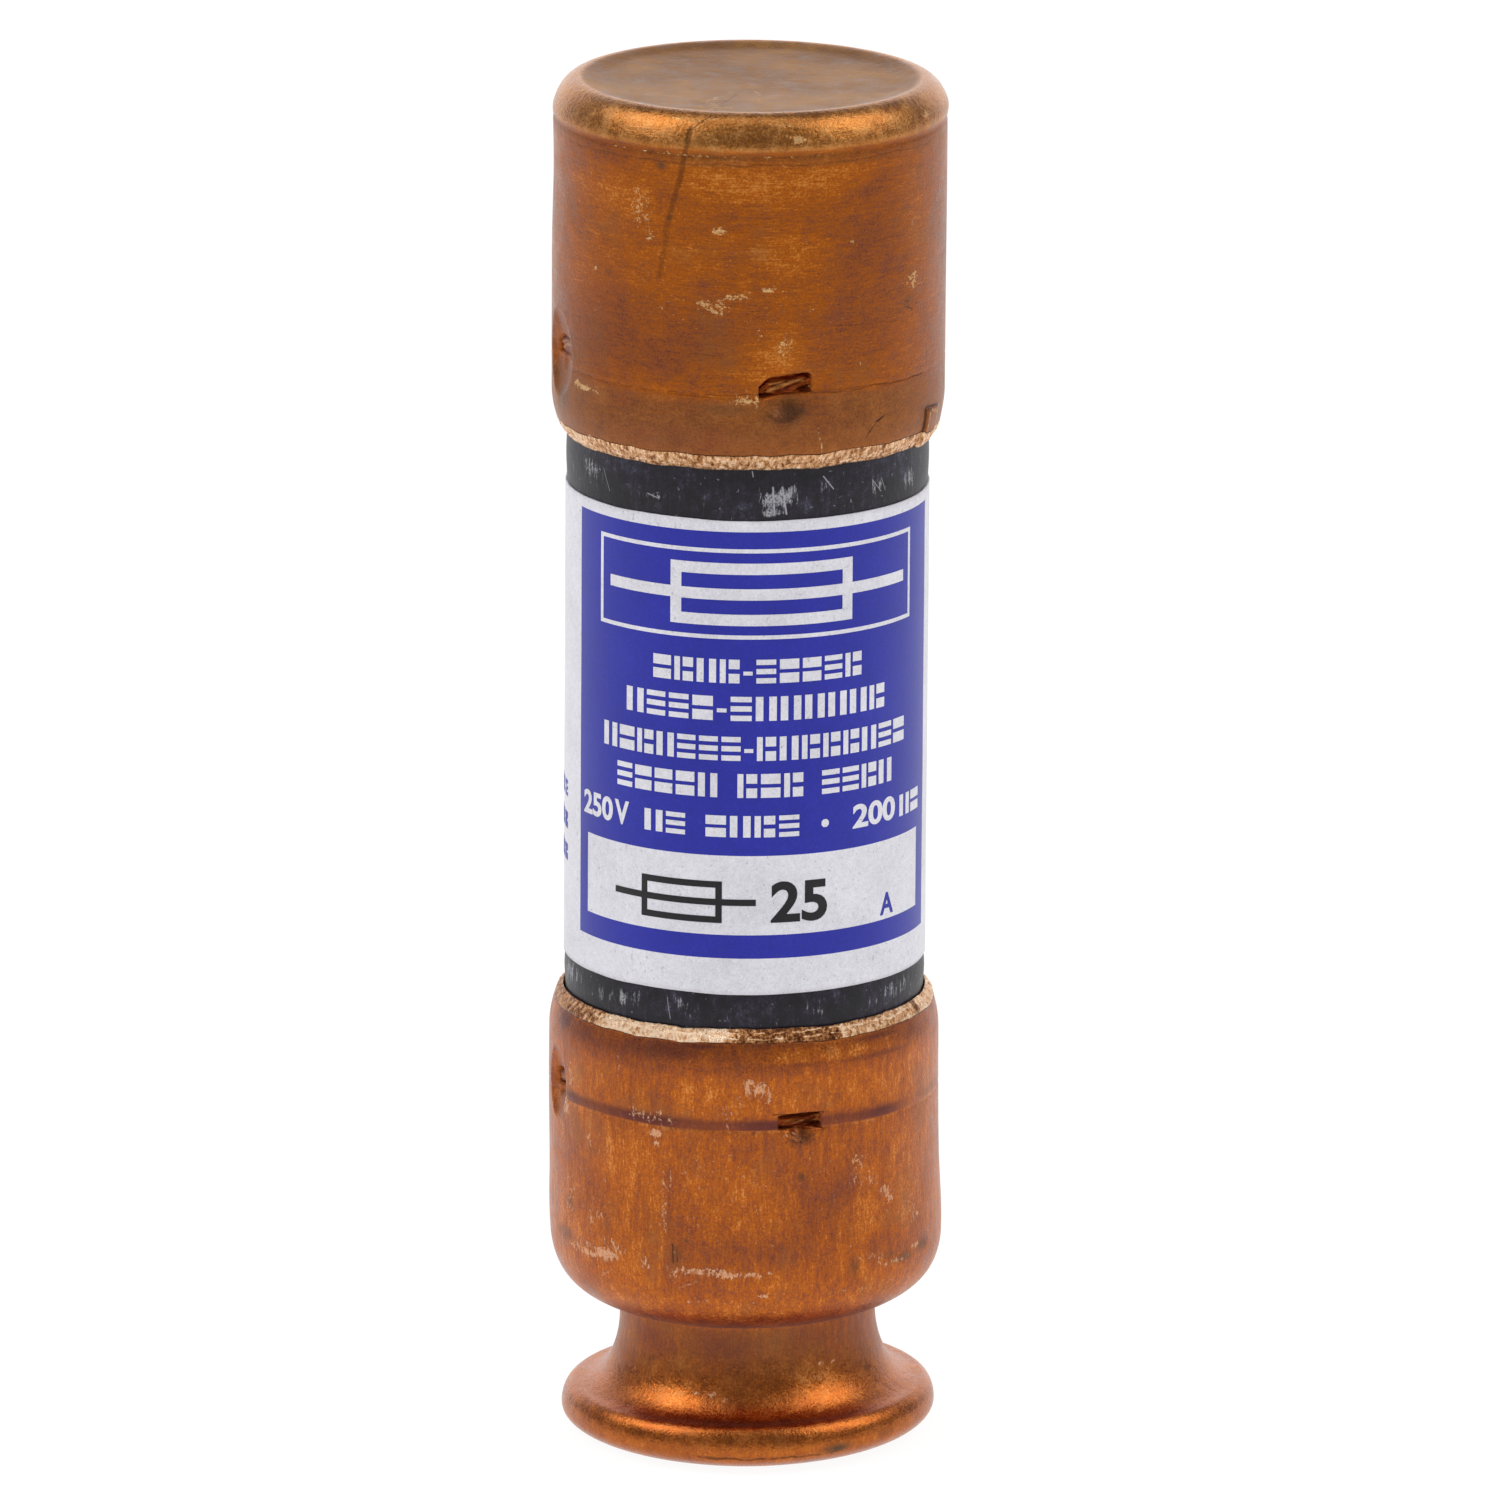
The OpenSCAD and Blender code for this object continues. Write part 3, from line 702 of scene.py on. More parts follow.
TOP_TONE = {
    "ramp": (
        (0.05, (0.185, 0.052, 0.026)), (0.30, (0.262, 0.074, 0.021)), (0.50, (0.335, 0.088, 0.0125)),
        (0.70, (0.415, 0.104, 0.0075)), (0.97, (0.62, 0.23, 0.045)),
    ),
    "olive": (0.235, 0.094, 0.032), "plum": (0.20, 0.062, 0.046), "fleck": (0.80, 0.50, 0.22),
    "gold": ((0.30, 0.112, 0.022), (0.52, 0.220, 0.055), (0.82, 0.46, 0.17)),
    "streak": (0.45, 0.45, 5.5), "streaky": 0.5, "speck": (7.0, 7.0, 9.0),
    "pebble": 0.020, "polish": 0.65,
}
# Bright ridges in each stake's window, from its middle and lip: bare sheared metal with painted highlights.
TOP_RIDGE_HIGHLIGHTS = [
    (-0.62, 0.16, -0.25, 0.29, 0.10, 0.70), (-0.25, 0.29, 0.35, 0.47, 0.08, 0.90),
    (0.35, 0.46, 0.72, 0.50, 0.09, 0.55), (-0.55, 0.42, 0.1, 0.50, 0.05, 0.8),
]


def mesh_points(mesh):
    """Every point of a mesh, a row of three each, in metres."""
    points = np.zeros(len(mesh.vertices) * 3)
    mesh.vertices.foreach_get("co", points)
    return points.reshape(-1, 3)


def plain_ferrule():
    """The upper ferrule, with its dished end."""
    mesh, b, z, cut = turned_ferrule(
        "plain_ferrule", top_outline(), TOP_STAKES, top_wear, (TOP_RIM, 1, TOP_EDGE_H),
        (LENGTH - DISH, CEILING_Z), 11,
    )
    points = mesh_points(mesh)
    reach = np.hypot(points[:, 0], points[:, 1])[:z.size].reshape(z.shape) / MM
    turn = turn_between(b, 0)
    outer = z > 49.0
    dish = outer * smooth((RIDGE_R + 0.02 - reach) / 0.25) * smooth((z - 50.3) / 0.1)
    crease = 0.55 * hump(z - 49.30, 0.17) * smooth((turn + 100) / 20)
    crease = crease * (1 - 0.6 * smooth((turn_between(b, 20)) / 20))
    crown = 0.35 * smooth((49.2 - z) / 0.1) * outer
    band = 0.55 * smooth((40.62 - z) / 0.25)
    store(mesh, "cut", cut)
    # Painted highlight on the cut edge: brighter at the left and past the tear.
    store(mesh, "edge_highlight", 0.62 + 0.16 * smooth((-turn - 52) / 8) + 0.10 * smooth((turn - 64) / 2))
    store(mesh, "dull", np.maximum(band, np.maximum(crease, crown)))
    store(mesh, "dish", dish)
    store(mesh, "polish", outer * (1 - dish) * smooth((z - 49.5) / 0.15))
    paint(mesh, "pale", TOP_PALE, b, z)
    paint(mesh, "grime_and_shade", TOP_GRIME_AND_SHADE, b, z)
    paint(mesh, "warm", TOP_WARM, b, z)
    paint(mesh, "plum", TOP_PLUM, b, z)
    made = add_object("plain_ferrule", mesh)
    gold = [line for s in TOP_STAKES for line in on_stake(s, TOP_RIDGE_HIGHLIGHTS)]
    lines = {"dark": TOP_LINES_DARK, "pale": TOP_LINES_PALE, "gold": gold, "edge": TOP_EDGE_HIGHLIGHTS}
    mesh.materials.append(worn_copper("plain_ferrule_copper", TOP_TONE, lines))
    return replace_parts(made, "top_ferrule")


LOW_PALE = [
    (3.5, 14.75, 0.75, 0.50, 0.74), (-30, 13.55, 1.1, 0.35, 0.62), (-52, 7.9, 1.6, 0.5, 0.66),
    (-42, 8.3, 0.8, 0.6, 0.62), (-12, 7.85, 1.9, 0.22, 0.80), (50, 7.6, 1.5, 0.2, 0.66),
    (-24, 10.3, 0.25, 1.6, 0.70), (36, 11.2, 0.9, 0.9, 0.56), (58, 9.3, 0.6, 1.0, 0.60),
    (-48, 9.6, 0.9, 0.8, 0.56), (40, 8.0, 1.2, 0.4, 0.58), (-62, 9.5, 0.5, 1.6, 0.60),
    (1.5, 14.9, 0.3, 0.35, 1.0), (5.0, 14.8, 0.4, 0.4, 0.9), (7.5, 14.5, 0.3, 0.35, 0.8),
    (-1, 14.4, 0.25, 0.4, 0.7), (-6, 13.9, 0.8, 0.4, 0.55), (-26.4, 12.88, 0.25, 0.18, 1.6),
    (-26.0, 12.5, 0.12, 0.2, 1.0), (-34, 13.6, 0.08, 0.5, 0.8), (-25, 13.6, 0.1, 0.3, 0.9),
    (-22, 13.5, 0.2, 0.3, 0.8), (12.8, 13.02, 0.11, 0.07, 1.3), (15.3, 13.0, 0.1, 0.06, 1.2),
    (-22, 11.0, 0.15, 1.0, 0.6), (-44, 11.6, 0.15, 0.5, 0.6),
    (-52, 12.0, 0.3, 0.5, 0.7), (36, 11.8, 0.6, 0.3, 0.65), (41, 10.9, 0.5, 0.4, 0.65),
    (45.5, 10.4, 0.4, 0.3, 0.9), (48, 10.1, 0.3, 0.3, 0.8), (-51, 9.1, 0.08, 0.4, 1.0),
    (-43, 9.5, 0.08, 0.3, 0.7), (61, 9.08, 0.12, 0.12, 1.3), (-60, 7.8, 0.9, 0.2, 0.8),
    (-53, 7.75, 0.9, 0.2, 0.9), (-45, 7.9, 0.8, 0.35, 0.95), (-40, 8.2, 0.4, 0.3, 0.8),
    (-30, 8.0, 0.3, 0.4, 0.7), (-20, 7.7, 0.5, 0.2, 0.85), (-13, 7.75, 0.8, 0.16, 0.9),
    (-5, 7.75, 0.8, 0.2, 0.95), (2, 7.75, 0.6, 0.18, 0.95), (7, 7.85, 0.2, 0.14, 0.9),
    (5, 6.95, 0.35, 0.1, 0.9), (50, 7.55, 0.8, 0.12, 0.8), (60, 7.9, 0.4, 0.2, 0.8),
    (33, 8.6, 0.3, 0.1, 0.6), (-10, 6.6, 4, 0.25, 0.50), (35, 6.8, 3, 0.2, 0.5),
    (-65, 12.9, 0.4, 0.5, 0.9), (-62, 14.2, 0.2, 0.8, 0.8), (-68, 11.8, 0.5, 0.8, 0.6),
    (-15, 2.55, 0.4, 0.14, 0.9), (-22, 2.55, 0.35, 0.12, 0.9), (-9, 2.4, 0.2, 0.1, 0.8),
    (34, 3.4, 0.3, 0.12, 0.8), (-1, 3.7, 0.35, 0.05, 0.7), (29, 2.9, 0.9, 0.5, 0.50),
    (0, 11, 9, 4.0, 0.40), (-60, 11, 4, 4.0, 0.40), (60, 11, 4, 4.0, 0.38),
    (180, 11, 9, 4, 0.38), (130, 13, 0.6, 1.0, 0.7), (-120, 11, 1.2, 0.5, 0.7),
    (170, 9, 1.5, 0.5, 0.7), (90, 10, 0.5, 1.2, 0.6), (-160, 14, 0.9, 0.4, 0.8),
]
# Dark marks: real smudges, and painted shade in the dimple just below the front stake's lip.
LOW_GRIME_AND_SHADE = [
    (17.3, 11.38, 0.16, 0.14, 0.75), (-17.1, 8.96, 0.07, 0.06, 1.0), (53, 7.62, 0.7, 0.16, 0.7),
    (64, 7.8, 0.5, 0.25, 0.6), (46, 7.9, 0.5, 0.2, 0.35), (33.6, 7.75, 0.2, 0.35, 0.5),
    (-20, 8.4, 0.25, 0.4, 0.45), (-66, 8.1, 0.7, 0.25, 0.5), (28.5, 0.78, 0.62, 0.17, 0.95),
    (48, 0.95, 0.5, 0.15, 0.4), (-63, 9.4, 0.2, 0.2, 0.6), (120, 9, 1.6, 1.2, 0.3),
    (17.2, 12.85, 0.42, 0.24, 0.6), (-130, 8.5, 1.8, 1.0, 0.3), (180, 13, 1.5, 0.6, 0.3),
]
LOW_WARM = [
    (-50, 14.5, 2.0, 0.7, 0.18), (-15, 14.7, 1.4, 0.7, 0.12), (12, 15.9, 0.9, 0.3, 0.22),
    (30, 15.9, 1.0, 0.3, 0.18), (18, 14.8, 1.6, 0.6, 0.10), (45, 14.3, 1.8, 0.6, 0.14),
    (62, 11.0, 2.6, 5.0, 0.13), (-64, 11.0, 1.6, 5.0, 0.10), (0, 4.35, 7.0, 0.75, -0.26),
    (-40, 11.5, 2.0, 1.2, 0.12), (0, 10.5, 1.6, 1.6, 0.10), (36, 9.6, 1.0, 1.0, 0.22),
    (26, 9.8, 1.2, 1.4, -0.2), (-60, 10.2, 1.6, 2.0, -0.14), (48, 8.3, 2.0, 0.6, -0.15),
    (0, 15.4, 9.0, 0.22, -0.14), (-33, 16.0, 2.2, 0.5, -0.25), (5, 8.6, 3.0, 0.5, -0.12),
    (8, 6.3, 9.0, 0.5, 0.10), (110, 12, 3, 2, -0.2), (160, 10, 3, 2, 0.2), (-120, 13, 3, 1.6, 0.2),
    (-30, 2.4, 1.6, 0.5, 0.25), (32, 3.0, 1.4, 0.5, 0.28),
]
LOW_PLUM = [
    (-68, 16.1, 0.9, 0.5, 1.0), (-57, 15.95, 1.2, 0.42, 0.75), (-47, 15.75, 1.0, 0.3, 0.55),
    (-38, 15.9, 1.2, 0.4, 0.45), (-22, 16.05, 1.5, 0.4, 0.75), (-14, 16.3, 1.2, 0.14, 0.95),
    (-6, 15.95, 0.5, 0.3, 0.5), (16, 16.35, 1.0, 0.1, 0.6), (16, 15.62, 1.6, 0.1, 0.6),
    (44, 15.6, 2.4, 0.13, 0.75), (44, 16.25, 1.8, 0.18, 0.85), (62, 16.0, 1.4, 0.5, 0.7),
    (64, 9.5, 1.0, 2.5, 0.30), (-70, 13.0, 0.5, 0.6, 0.7), (28, 10.6, 1.2, 1.0, 0.25),
    (150, 16.0, 6.0, 0.4, 0.7), (-130, 15.9, 5.0, 0.4, 0.7), (-10, 4.3, 2.6, 0.7, 0.55),
    (-48, 4.2, 1.4, 0.6, 0.5), (25, 4.2, 1.6, 0.5, 0.35), (60, 3.9, 1.4, 0.7, 0.4),
]
LOW_LINES_PALE = [
    (-51.3, 9.35, -50.9, 8.75, 0.06, 0.9), (-42.8, 9.8, -42.6, 9.2, 0.05, 0.5),
    (-34.0, 14.1, -33.8, 13.3, 0.05, 0.7), (-25.5, 13.7, -24.8, 13.2, 0.05, 0.8),
    (-22.3, 13.7, -21.5, 13.3, 0.05, 0.6), (-5.0, 13.9, -4.4, 13.3, 0.05, 0.6),
    (0.5, 15.1, 2.0, 14.4, 0.05, 0.7), (5.8, 15.0, 6.2, 14.2, 0.05, 0.6),
    (-22.0, 7.7, -19.0, 7.1, 0.05, 0.6), (-19.0, 7.1, -13.0, 7.5, 0.05, 0.5),
    (-24.0, 11.8, -23.6, 9.6, 0.04, 0.5), (-39.8, 15.6, -39.5, 14.8, 0.06, 0.6),
    (38.5, 3.25, 43.5, 3.45, 0.05, 0.9), (-48, 6.9, -42, 7.4, 0.05, 0.6),
    (-16, 9.9, -15.6, 8.9, 0.03, 0.4), (27, 11.4, 27.3, 10.2, 0.03, 0.4),
    (-44, 12.4, -43.7, 10.9, 0.03, 0.5), (100, 12.4, 101, 10.4, 0.05, 0.6),
    (-150, 11, -148, 9.2, 0.05, 0.6),
]
LOW_LINES_DARK = [
    (-66, 14.9, -65, 13.3, 0.05, 0.5), (-13, 0.60, 17, 0.66, 0.09, 0.7), (17, 0.66, 30, 0.72, 0.07, 0.5),
    (-20.6, 8.8, -20.4, 8.1, 0.05, 0.7), (-19.4, 8.7, -19.2, 8.2, 0.04, 0.6),
    (-38, 14.9, -37.6, 14.1, 0.03, 0.4), (8.9, 13.79, 24.6, 13.80, 0.04, 0.7),
    (-60, 16.42, 66, 16.44, 0.05, 0.55), (140, 14, 142, 12.6, 0.05, 0.6),
]
# Painted highlight lines along the cut edge.
LOW_EDGE_HIGHLIGHTS = [
    (-9, 16.60, 34, 16.61, 0.035, 1.0), (-5, 16.80, 31, 16.79, 0.03, 0.9),
    (-53, 16.70, -6, 16.66, 0.05, 0.8), (32, 16.74, 63, 16.76, 0.05, 0.7),
]


def heat_band(turn, z):
    """The purple heat band's strength, and the thin bright line along its foot."""
    line = 13.17 + 0.02 * np.sin(np.radians(turn) * 6) + 0.0004 * turn
    band = smooth((z - line) / 0.08) * smooth((line + 0.62 - z) / 0.32)
    reach = 0.35 + 0.65 * smooth((58 - turn) / 14) * smooth((turn + 68) / 8)
    foot = hump(z - line + 0.02, 0.045) * (0.6 + 0.4 * np.sin(np.radians(turn) * 11))
    return band * reach * (1.0 + 0.2 * np.sin(np.radians(turn) * 9)), foot


LOW_TONE = {
    "ramp": (
        (0.05, (0.215, 0.060, 0.033)), (0.30, (0.320, 0.083, 0.025)), (0.50, (0.415, 0.106, 0.021)),
        (0.70, (0.530, 0.140, 0.016)), (0.97, (0.76, 0.30, 0.085)),
    ),
    "olive": (0.27, 0.105, 0.042), "plum": (0.140, 0.040, 0.030), "fleck": (0.82, 0.45, 0.26),
    "gold": ((0.30, 0.080, 0.016), (0.44, 0.120, 0.022), (0.64, 0.23, 0.06)),
    "streak": (3.2, 3.2, 0.6), "streaky": 0.9, "speck": (9.0, 9.0, 5.0),
    "pebble": 0.012, "polish": 0.55,
}
# Bright ridges in each stake's window, from its middle and lip: bare sheared metal with painted highlights.
LOW_RIDGE_HIGHLIGHTS = [
    (-0.5, 0.27, 0.7, 0.30, 0.06, 0.45), (-0.6, 0.15, 0.2, 0.17, 0.05, 0.4),
    (0.72, 0.1, 0.74, 0.5, 0.07, 0.5),
]
KNOB_SHIFT = 0.235
KNOB_TILT = 1.0


def bend_knob(mesh):
    """Moves the lower end aside, and tips its knob and groove.

    Near the foot the low side moves less, so that the fuse still stands on its end.
    """
    points = mesh_points(mesh)
    height = points[:, 2] / MM
    tipped = math.tan(math.radians(KNOB_TILT)) * (1 - smooth((height - 4.0) / 5.0))
    standing = smooth(height / 1.5 + 0.35)
    standing[points[:, 0] > 0] = 1.0
    points[:, 2] += points[:, 0] * tipped * standing
    points[:, 0] += KNOB_SHIFT * (1 - smooth((height - 1.0) / 13.0)) * MM
    mesh.vertices.foreach_set("co", points.ravel())


def low_edge_highlight(turn):
    """The painted highlight on the lower rim's cut edge: how bright its bare copper is drawn, round the
    barrel.
    """
    thin = smooth((turn + 8) / 6) * smooth((33 - turn) / 5)
    bright = 0.42 + 0.50 * smooth((turn + 54) / 8) * smooth((2 - turn) / 10)
    bright = bright + 0.24 * smooth((turn - 28) / 6) * smooth((66 - turn) / 2) - 0.10 * thin
    return bright + 0.35 * smooth((turn - 67) / 2) - 0.3 * hump(turn - 66, 1.2)


def rejection_ferrule():
    """The lower ferrule, with its groove and end knob."""
    mesh, b, z, cut = turned_ferrule(
        "grooved_ferrule", low_outline(), LOW_STAKES, low_wear, (LOW_RIM, -1, LOW_EDGE_H),
        (0.0, SHEET), 23,
    )
    bend_knob(mesh)
    turn = turn_between(b, 0)
    band, foot = heat_band(turn, z)
    store(mesh, "cut", cut)
    # Painted highlight on the cut edge, by bearing.
    store(mesh, "edge_highlight", low_edge_highlight(turn))
    store(mesh, "dull", 0.5 * smooth((5.0 - z) / 0.1) * smooth((z - 2.6) / 0.8))
    store(mesh, "polish", smooth((3.4 - z) / 0.8) * smooth(z / 0.3))
    store(mesh, "plum", np.maximum(band, soft_marks(LOW_PLUM, b, z)))
    store(mesh, "ember", foot)
    paint(mesh, "pale", LOW_PALE, b, z)
    paint(mesh, "grime_and_shade", LOW_GRIME_AND_SHADE, b, z)
    paint(mesh, "warm", LOW_WARM, b, z)
    made = add_object("grooved_ferrule", mesh)
    gold = [line for s in LOW_STAKES for line in on_stake(s, LOW_RIDGE_HIGHLIGHTS)]
    lines = {"dark": LOW_LINES_DARK, "pale": LOW_LINES_PALE, "gold": gold, "edge": LOW_EDGE_HIGHLIGHTS}
    mesh.materials.append(worn_copper("grooved_ferrule_copper", LOW_TONE, lines))
    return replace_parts(made, "rejection_ferrule")


# ---------------------------------------------------------- copper material

def plain_copper(g, tone, noises):
    """The sheet's own colour: tones from plum brown to bright orange, and olive clouds."""
    blotch, mottle, grain, streak, hair = noises
    level = g.blend_of(g.plus(0.47, g.layer("warm")), (
        (blotch, 0.7), (mottle, 0.75), (grain, 1.3), (streak, tone["streaky"]), (hair, 1.0),
    ))
    color = g.ramp(level, tone["ramp"])
    haze = g.step(g.noise(0.42, 3, 0.6, shift=19), 0.52, 0.68, 0.5)
    color = g.mix(g.times(haze, g.step(mottle, 0.3, 0.6)), color, tone["olive"])
    plum_haze = g.step(g.noise(0.55, 3, 0.6, shift=31), 0.56, 0.72, 0.22)
    return g.mix(plum_haze, color, tone["plum"])


def handled_copper(g, color, tone, noises, zones):
    """Adds the dull brown zones, the golden crown or knob, and the plain dish."""
    blotch, mottle, grain = noises[:3]
    dull, dish, polish = zones
    brown = g.ramp(g.blend_of(0.5, ((mottle, 1.6), (grain, 1.4))), (
        (0.1, (0.165, 0.064, 0.023)), (0.5, (0.258, 0.100, 0.029)), (0.95, (0.41, 0.19, 0.075)),
    ))
    color = g.mix(g.times(dull, g.step(blotch, 0.25, 0.6)), color, brown)
    golden = g.ramp(
        g.blend_of(0.5, ((mottle, 1.5), (grain, 1.0))), tuple(zip((0.1, 0.5, 0.95), tone["gold"]))
    )
    color = g.mix(g.times(polish, tone["polish"]), color, golden)
    plain = g.ramp(g.blend_of(0.5, ((blotch, 1.6), (mottle, 1.3), (grain, 1.6))), (
        (0.1, (0.20, 0.078, 0.014)), (0.5, (0.310, 0.120, 0.018)), (0.9, (0.47, 0.22, 0.045)),
    ))
    return g.mix(dish, color, plain)


def heated_copper(g, color, tone, mottle, streak):
    """Adds the plum and orange heat colours."""
    plum = g.layer("plum")
    patchy = g.plus(g.plus(mottle, g.times(streak, 0.5)), g.times(plum, 0.36))
    patchy = g.step(patchy, 0.62, 1.08)
    color = g.mix(g.times(g.times(plum, patchy), 0.9), color, tone["plum"])
    ember = g.times(g.layer("ember"), g.step(streak, 0.38, 0.62))
    return g.mix(g.times(ember, 0.6), color, (0.80, 0.30, 0.09))


def wavering(g):
    """The unrolled barrel, pushed about a little, so that lines drawn on it waver."""
    drift = g.node("TexNoise", {"Vector": g.place, "Scale": 1.3}).outputs["Color"]
    drift = g.node("VectorMath", {0: drift, 1: (0.5, 0.5, 0.5)}, operation="SUBTRACT").outputs[0]
    pushed = {0: g.stretch(drift, 0.25), 1: g.unrolled()}
    return g.node("VectorMath", pushed, operation="ADD").outputs[0]


def window_copper(g, color, wavy, gold):
    """Adds the stakes' windows: dark red floors, oxide with painted shade of the recess, and golden ridges,
    bare metal with painted highlights.
    """
    smear = g.step(g.noise(2.6, 4, 0.6, stretch=(1, 1, 4)), 0.42, 0.66)
    # Painted shade: the recessed floor is drawn dark, over its oxide.
    shaded_floor = g.mix(smear, (0.15, 0.024, 0.004), (0.33, 0.080, 0.016))
    # Painted highlights along the ridges, partly bare metal.
    shaded_floor = g.mix(g.scratches(wavy, gold), shaded_floor, (0.44, 0.20, 0.055))
    return g.mix(g.layer("window"), color, shaded_floor)


def cut_copper(g, color, cut, lit):
    """Adds the bare cut edge with a painted highlight: its colour goes from dark to bright as lit goes from
    0 to 1.
    """
    bare_with_highlight = g.ramp(lit, (
        (0.05, (0.060, 0.018, 0.006)), (0.35, (0.29, 0.105, 0.034)), (0.65, (0.72, 0.38, 0.17)),
        (0.98, (1.0, 0.74, 0.52)),
    ))
    return g.mix(g.step(cut, 0.45, 0.75), color, bare_with_highlight)


def worn_copper(name, tone, lines):
    """Tarnished drawn copper: blotches, streaks, scuffs, heat colours, bare cut edges; with painted
    highlights on cut edges and ridges, and painted shade in windows, dimples, rims and inside.
    """
    g = Graph(name)
    blotch = g.noise(0.30, 3, 0.6)
    mottle = g.noise(1.5, 5, 0.7, shift=7)
    grain = g.noise(11.0, 3, 0.75, shift=3)
    streak = g.noise(1.0, 5, 0.65, stretch=tone["streak"])
    hair = g.noise(1.0, 3, 0.75, stretch=tuple(4.5 * s for s in tone["streak"]), shift=11)
    noises = (blotch, mottle, grain, streak, hair)
    dull, dish, polish, cut = (g.layer(n) for n in ("dull", "dish", "polish", "cut"))
    wavy = wavering(g)

    color = plain_copper(g, tone, noises)
    color = handled_copper(g, color, tone, noises, (dull, dish, polish))
    color = heated_copper(g, color, tone, mottle, streak)
    # Dark smudges, and painted shade in the dimples under the stakes' windows.
    grime_and_shade = g.times(g.layer("grime_and_shade"), g.step(mottle, 0.15, 0.5))
    color = g.mix(grime_and_shade, color, (0.085, 0.058, 0.036))
    color = window_copper(g, color, wavy, lines["gold"])

    # Painted shadow: a thin dark line along the cut edge's outer rim, mixed in with the dark scratches.
    rim_shadow = g.times(g.step(cut, 0.02, 0.30), g.step(cut, 0.95, 0.50))
    dark = g.times(g.scratches(wavy, lines["dark"]), g.step(grain, 0.05, 0.42))
    dark = g.most(dark, g.times(rim_shadow, g.step(streak, 0.35, 0.55)))
    color = g.mix(dark, color, (0.060, 0.022, 0.010))

    speck = g.noise(1.0, 3, 0.7, stretch=tone["speck"], shift=5)
    scuff = g.step(g.plus(g.times(g.layer("pale"), 0.48), speck), 0.81, 0.90)
    broken = g.step(g.blend_of(grain, ((speck, 0.8),)), 0.44, 0.60)
    scuff = g.most(scuff, g.times(g.scratches(wavy, lines["pale"]), broken))
    bared = g.times(scuff, g.plus(0.45, g.step(grain, 0.38, 0.60, 0.45)))
    color = g.mix(bared, color, tone["fleck"])

    crumbs = g.noise(1.0, 4, 0.7, stretch=(6.0, 6.0, 2.4), shift=9)
    # The cut edge's painted highlight, with bright highlight lines along it.
    lit = g.plus(g.layer("edge_highlight"), g.times(g.scratches(wavy, lines["edge"]), 0.5))
    color = cut_copper(g, color, cut, g.blend_of(lit, ((crumbs, 2.4), (grain, 0.8))))
    # Painted shade: the inner face is drawn near black.
    color = g.mix(g.layer("inside"), color, (0.020, 0.009, 0.005))

    rough = g.blend_of(0.36, ((mottle, 0.5), (grain, 0.5)))
    rough = g.plus(rough, g.times(g.most(scuff, g.most(g.most(dull, dish), grime_and_shade)), 0.10))
    rough = g.plus(rough, g.times(polish, -0.08))
    gritty = g.times(grain, g.plus(0.014, g.times(polish, -0.009)))
    height = g.plus(gritty, g.plus(g.times(mottle, 0.035), g.times(hair, 0.010)))
    pebble = g.noise(6.0, 3, 0.7, shift=13)
    height = g.plus(height, g.times(g.times(polish, pebble), tone["pebble"]))
    height = g.plus(height, g.plus(g.times(scuff, 0.012), g.times(dark, -0.02)))
    height = g.plus(height, g.times(g.times(cut, crumbs), 0.12))
    return g.finish(color, rough, height, Metallic=0.97, Sheen_Weight=0.10, Sheen_Roughness=0.35)


# ------------------------------------------------------------- tube and label

TUBE_SMEARS = [
    (10, 36.65, 0.75, 0.34, 1.0), (8, 36.2, 0.5, 0.2, 0.9), (13, 37.0, 0.4, 0.2, 0.7),
    (26, 37.1, 0.3, 0.12, 0.6), (45, 36.8, 0.3, 0.35, 0.5), (-31, 36.6, 0.5, 0.14, 0.6),
    (-60, 37.0, 0.8, 0.5, 0.6), (62, 36.6, 0.6, 0.5, 0.5), (-45, 17.6, 1.4, 0.4, 0.5),
    (-20, 17.6, 0.5, 0.4, 0.4), (20, 17.5, 1.0, 0.3, 0.35), (55, 17.7, 1.2, 0.4, 0.5),
    (-75, 17.6, 1.2, 0.5, 0.6), (120, 36.9, 1.5, 0.3, 0.7), (-140, 17.5, 1.2, 0.3, 0.7),
    (170, 37, 0.6, 0.3, 0.8),
]
TUBE_LINES = [
    (24.5, 37.4, 28.0, 36.9, 0.03, 0.8), (43, 37.0, 47, 36.5, 0.025, 0.6),
    (47, 37.0, 49, 36.5, 0.02, 0.6), (-33, 36.62, -29.4, 36.5, 0.03, 0.6),
    (1.5, 37.7, 1.8, 37.5, 0.03, 0.7), (-52, 37.2, -49, 36.4, 0.02, 0.5),
    (8.0, 37.1, 8.6, 36.1, 0.05, 0.8), (11.0, 37.1, 12.4, 36.1, 0.05, 0.8),
    (55, 17.9, 56, 17.3, 0.025, 0.5), (-25, 17.9, -24, 17.1, 0.025, 0.5),
]


TUBE_BEVEL = 0.15
TUBE_WALL = 1.2


def tube():
    """The laminated fibre tube, with a pocket under each stake."""
    bearings = columns_with([], 300)
    outer_z = np.linspace(TUBE_Z0 + TUBE_BEVEL, TUBE_Z1 - TUBE_BEVEL, 190)
    end_r = TUBE_R - TUBE_BEVEL
    outer = [(end_r, TUBE_Z0)] + [(TUBE_R, z) for z in outer_z] + [(end_r, TUBE_Z1)]
    bore = TUBE_R - TUBE_WALL
    inner = between((bore, TUBE_Z1), (bore, TUBE_Z0), 12)
    r, z, b = turned_grid((outer + [(bore, TUBE_Z1)] + inner)[::-1], bearings)
    depth = np.maximum(pressed_in(TOP_STAKES, b, z), pressed_in(LOW_STAKES, b, z))
    depth = depth * ((z > TOP_RIM) | (z < LOW_RIM))
    swell = 0.045 * (hump(z - 36.9, 0.8) + hump(z - 17.6, 0.5))
    face = np.minimum(r + swell, inner_radius(depth) - 0.02 + 0.02 * (swell > 0.01))
    r = np.where(r > TUBE_R - 0.01, face, r)
    mesh = lathe("fibre_tube", r, z, bearings, True)
    paint(mesh, "smear", TUBE_SMEARS, b, z, TUBE_R)
    made = add_object("fibre_tube", mesh)
    mesh.materials.append(black_fibre())
    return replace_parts(made, "tube")


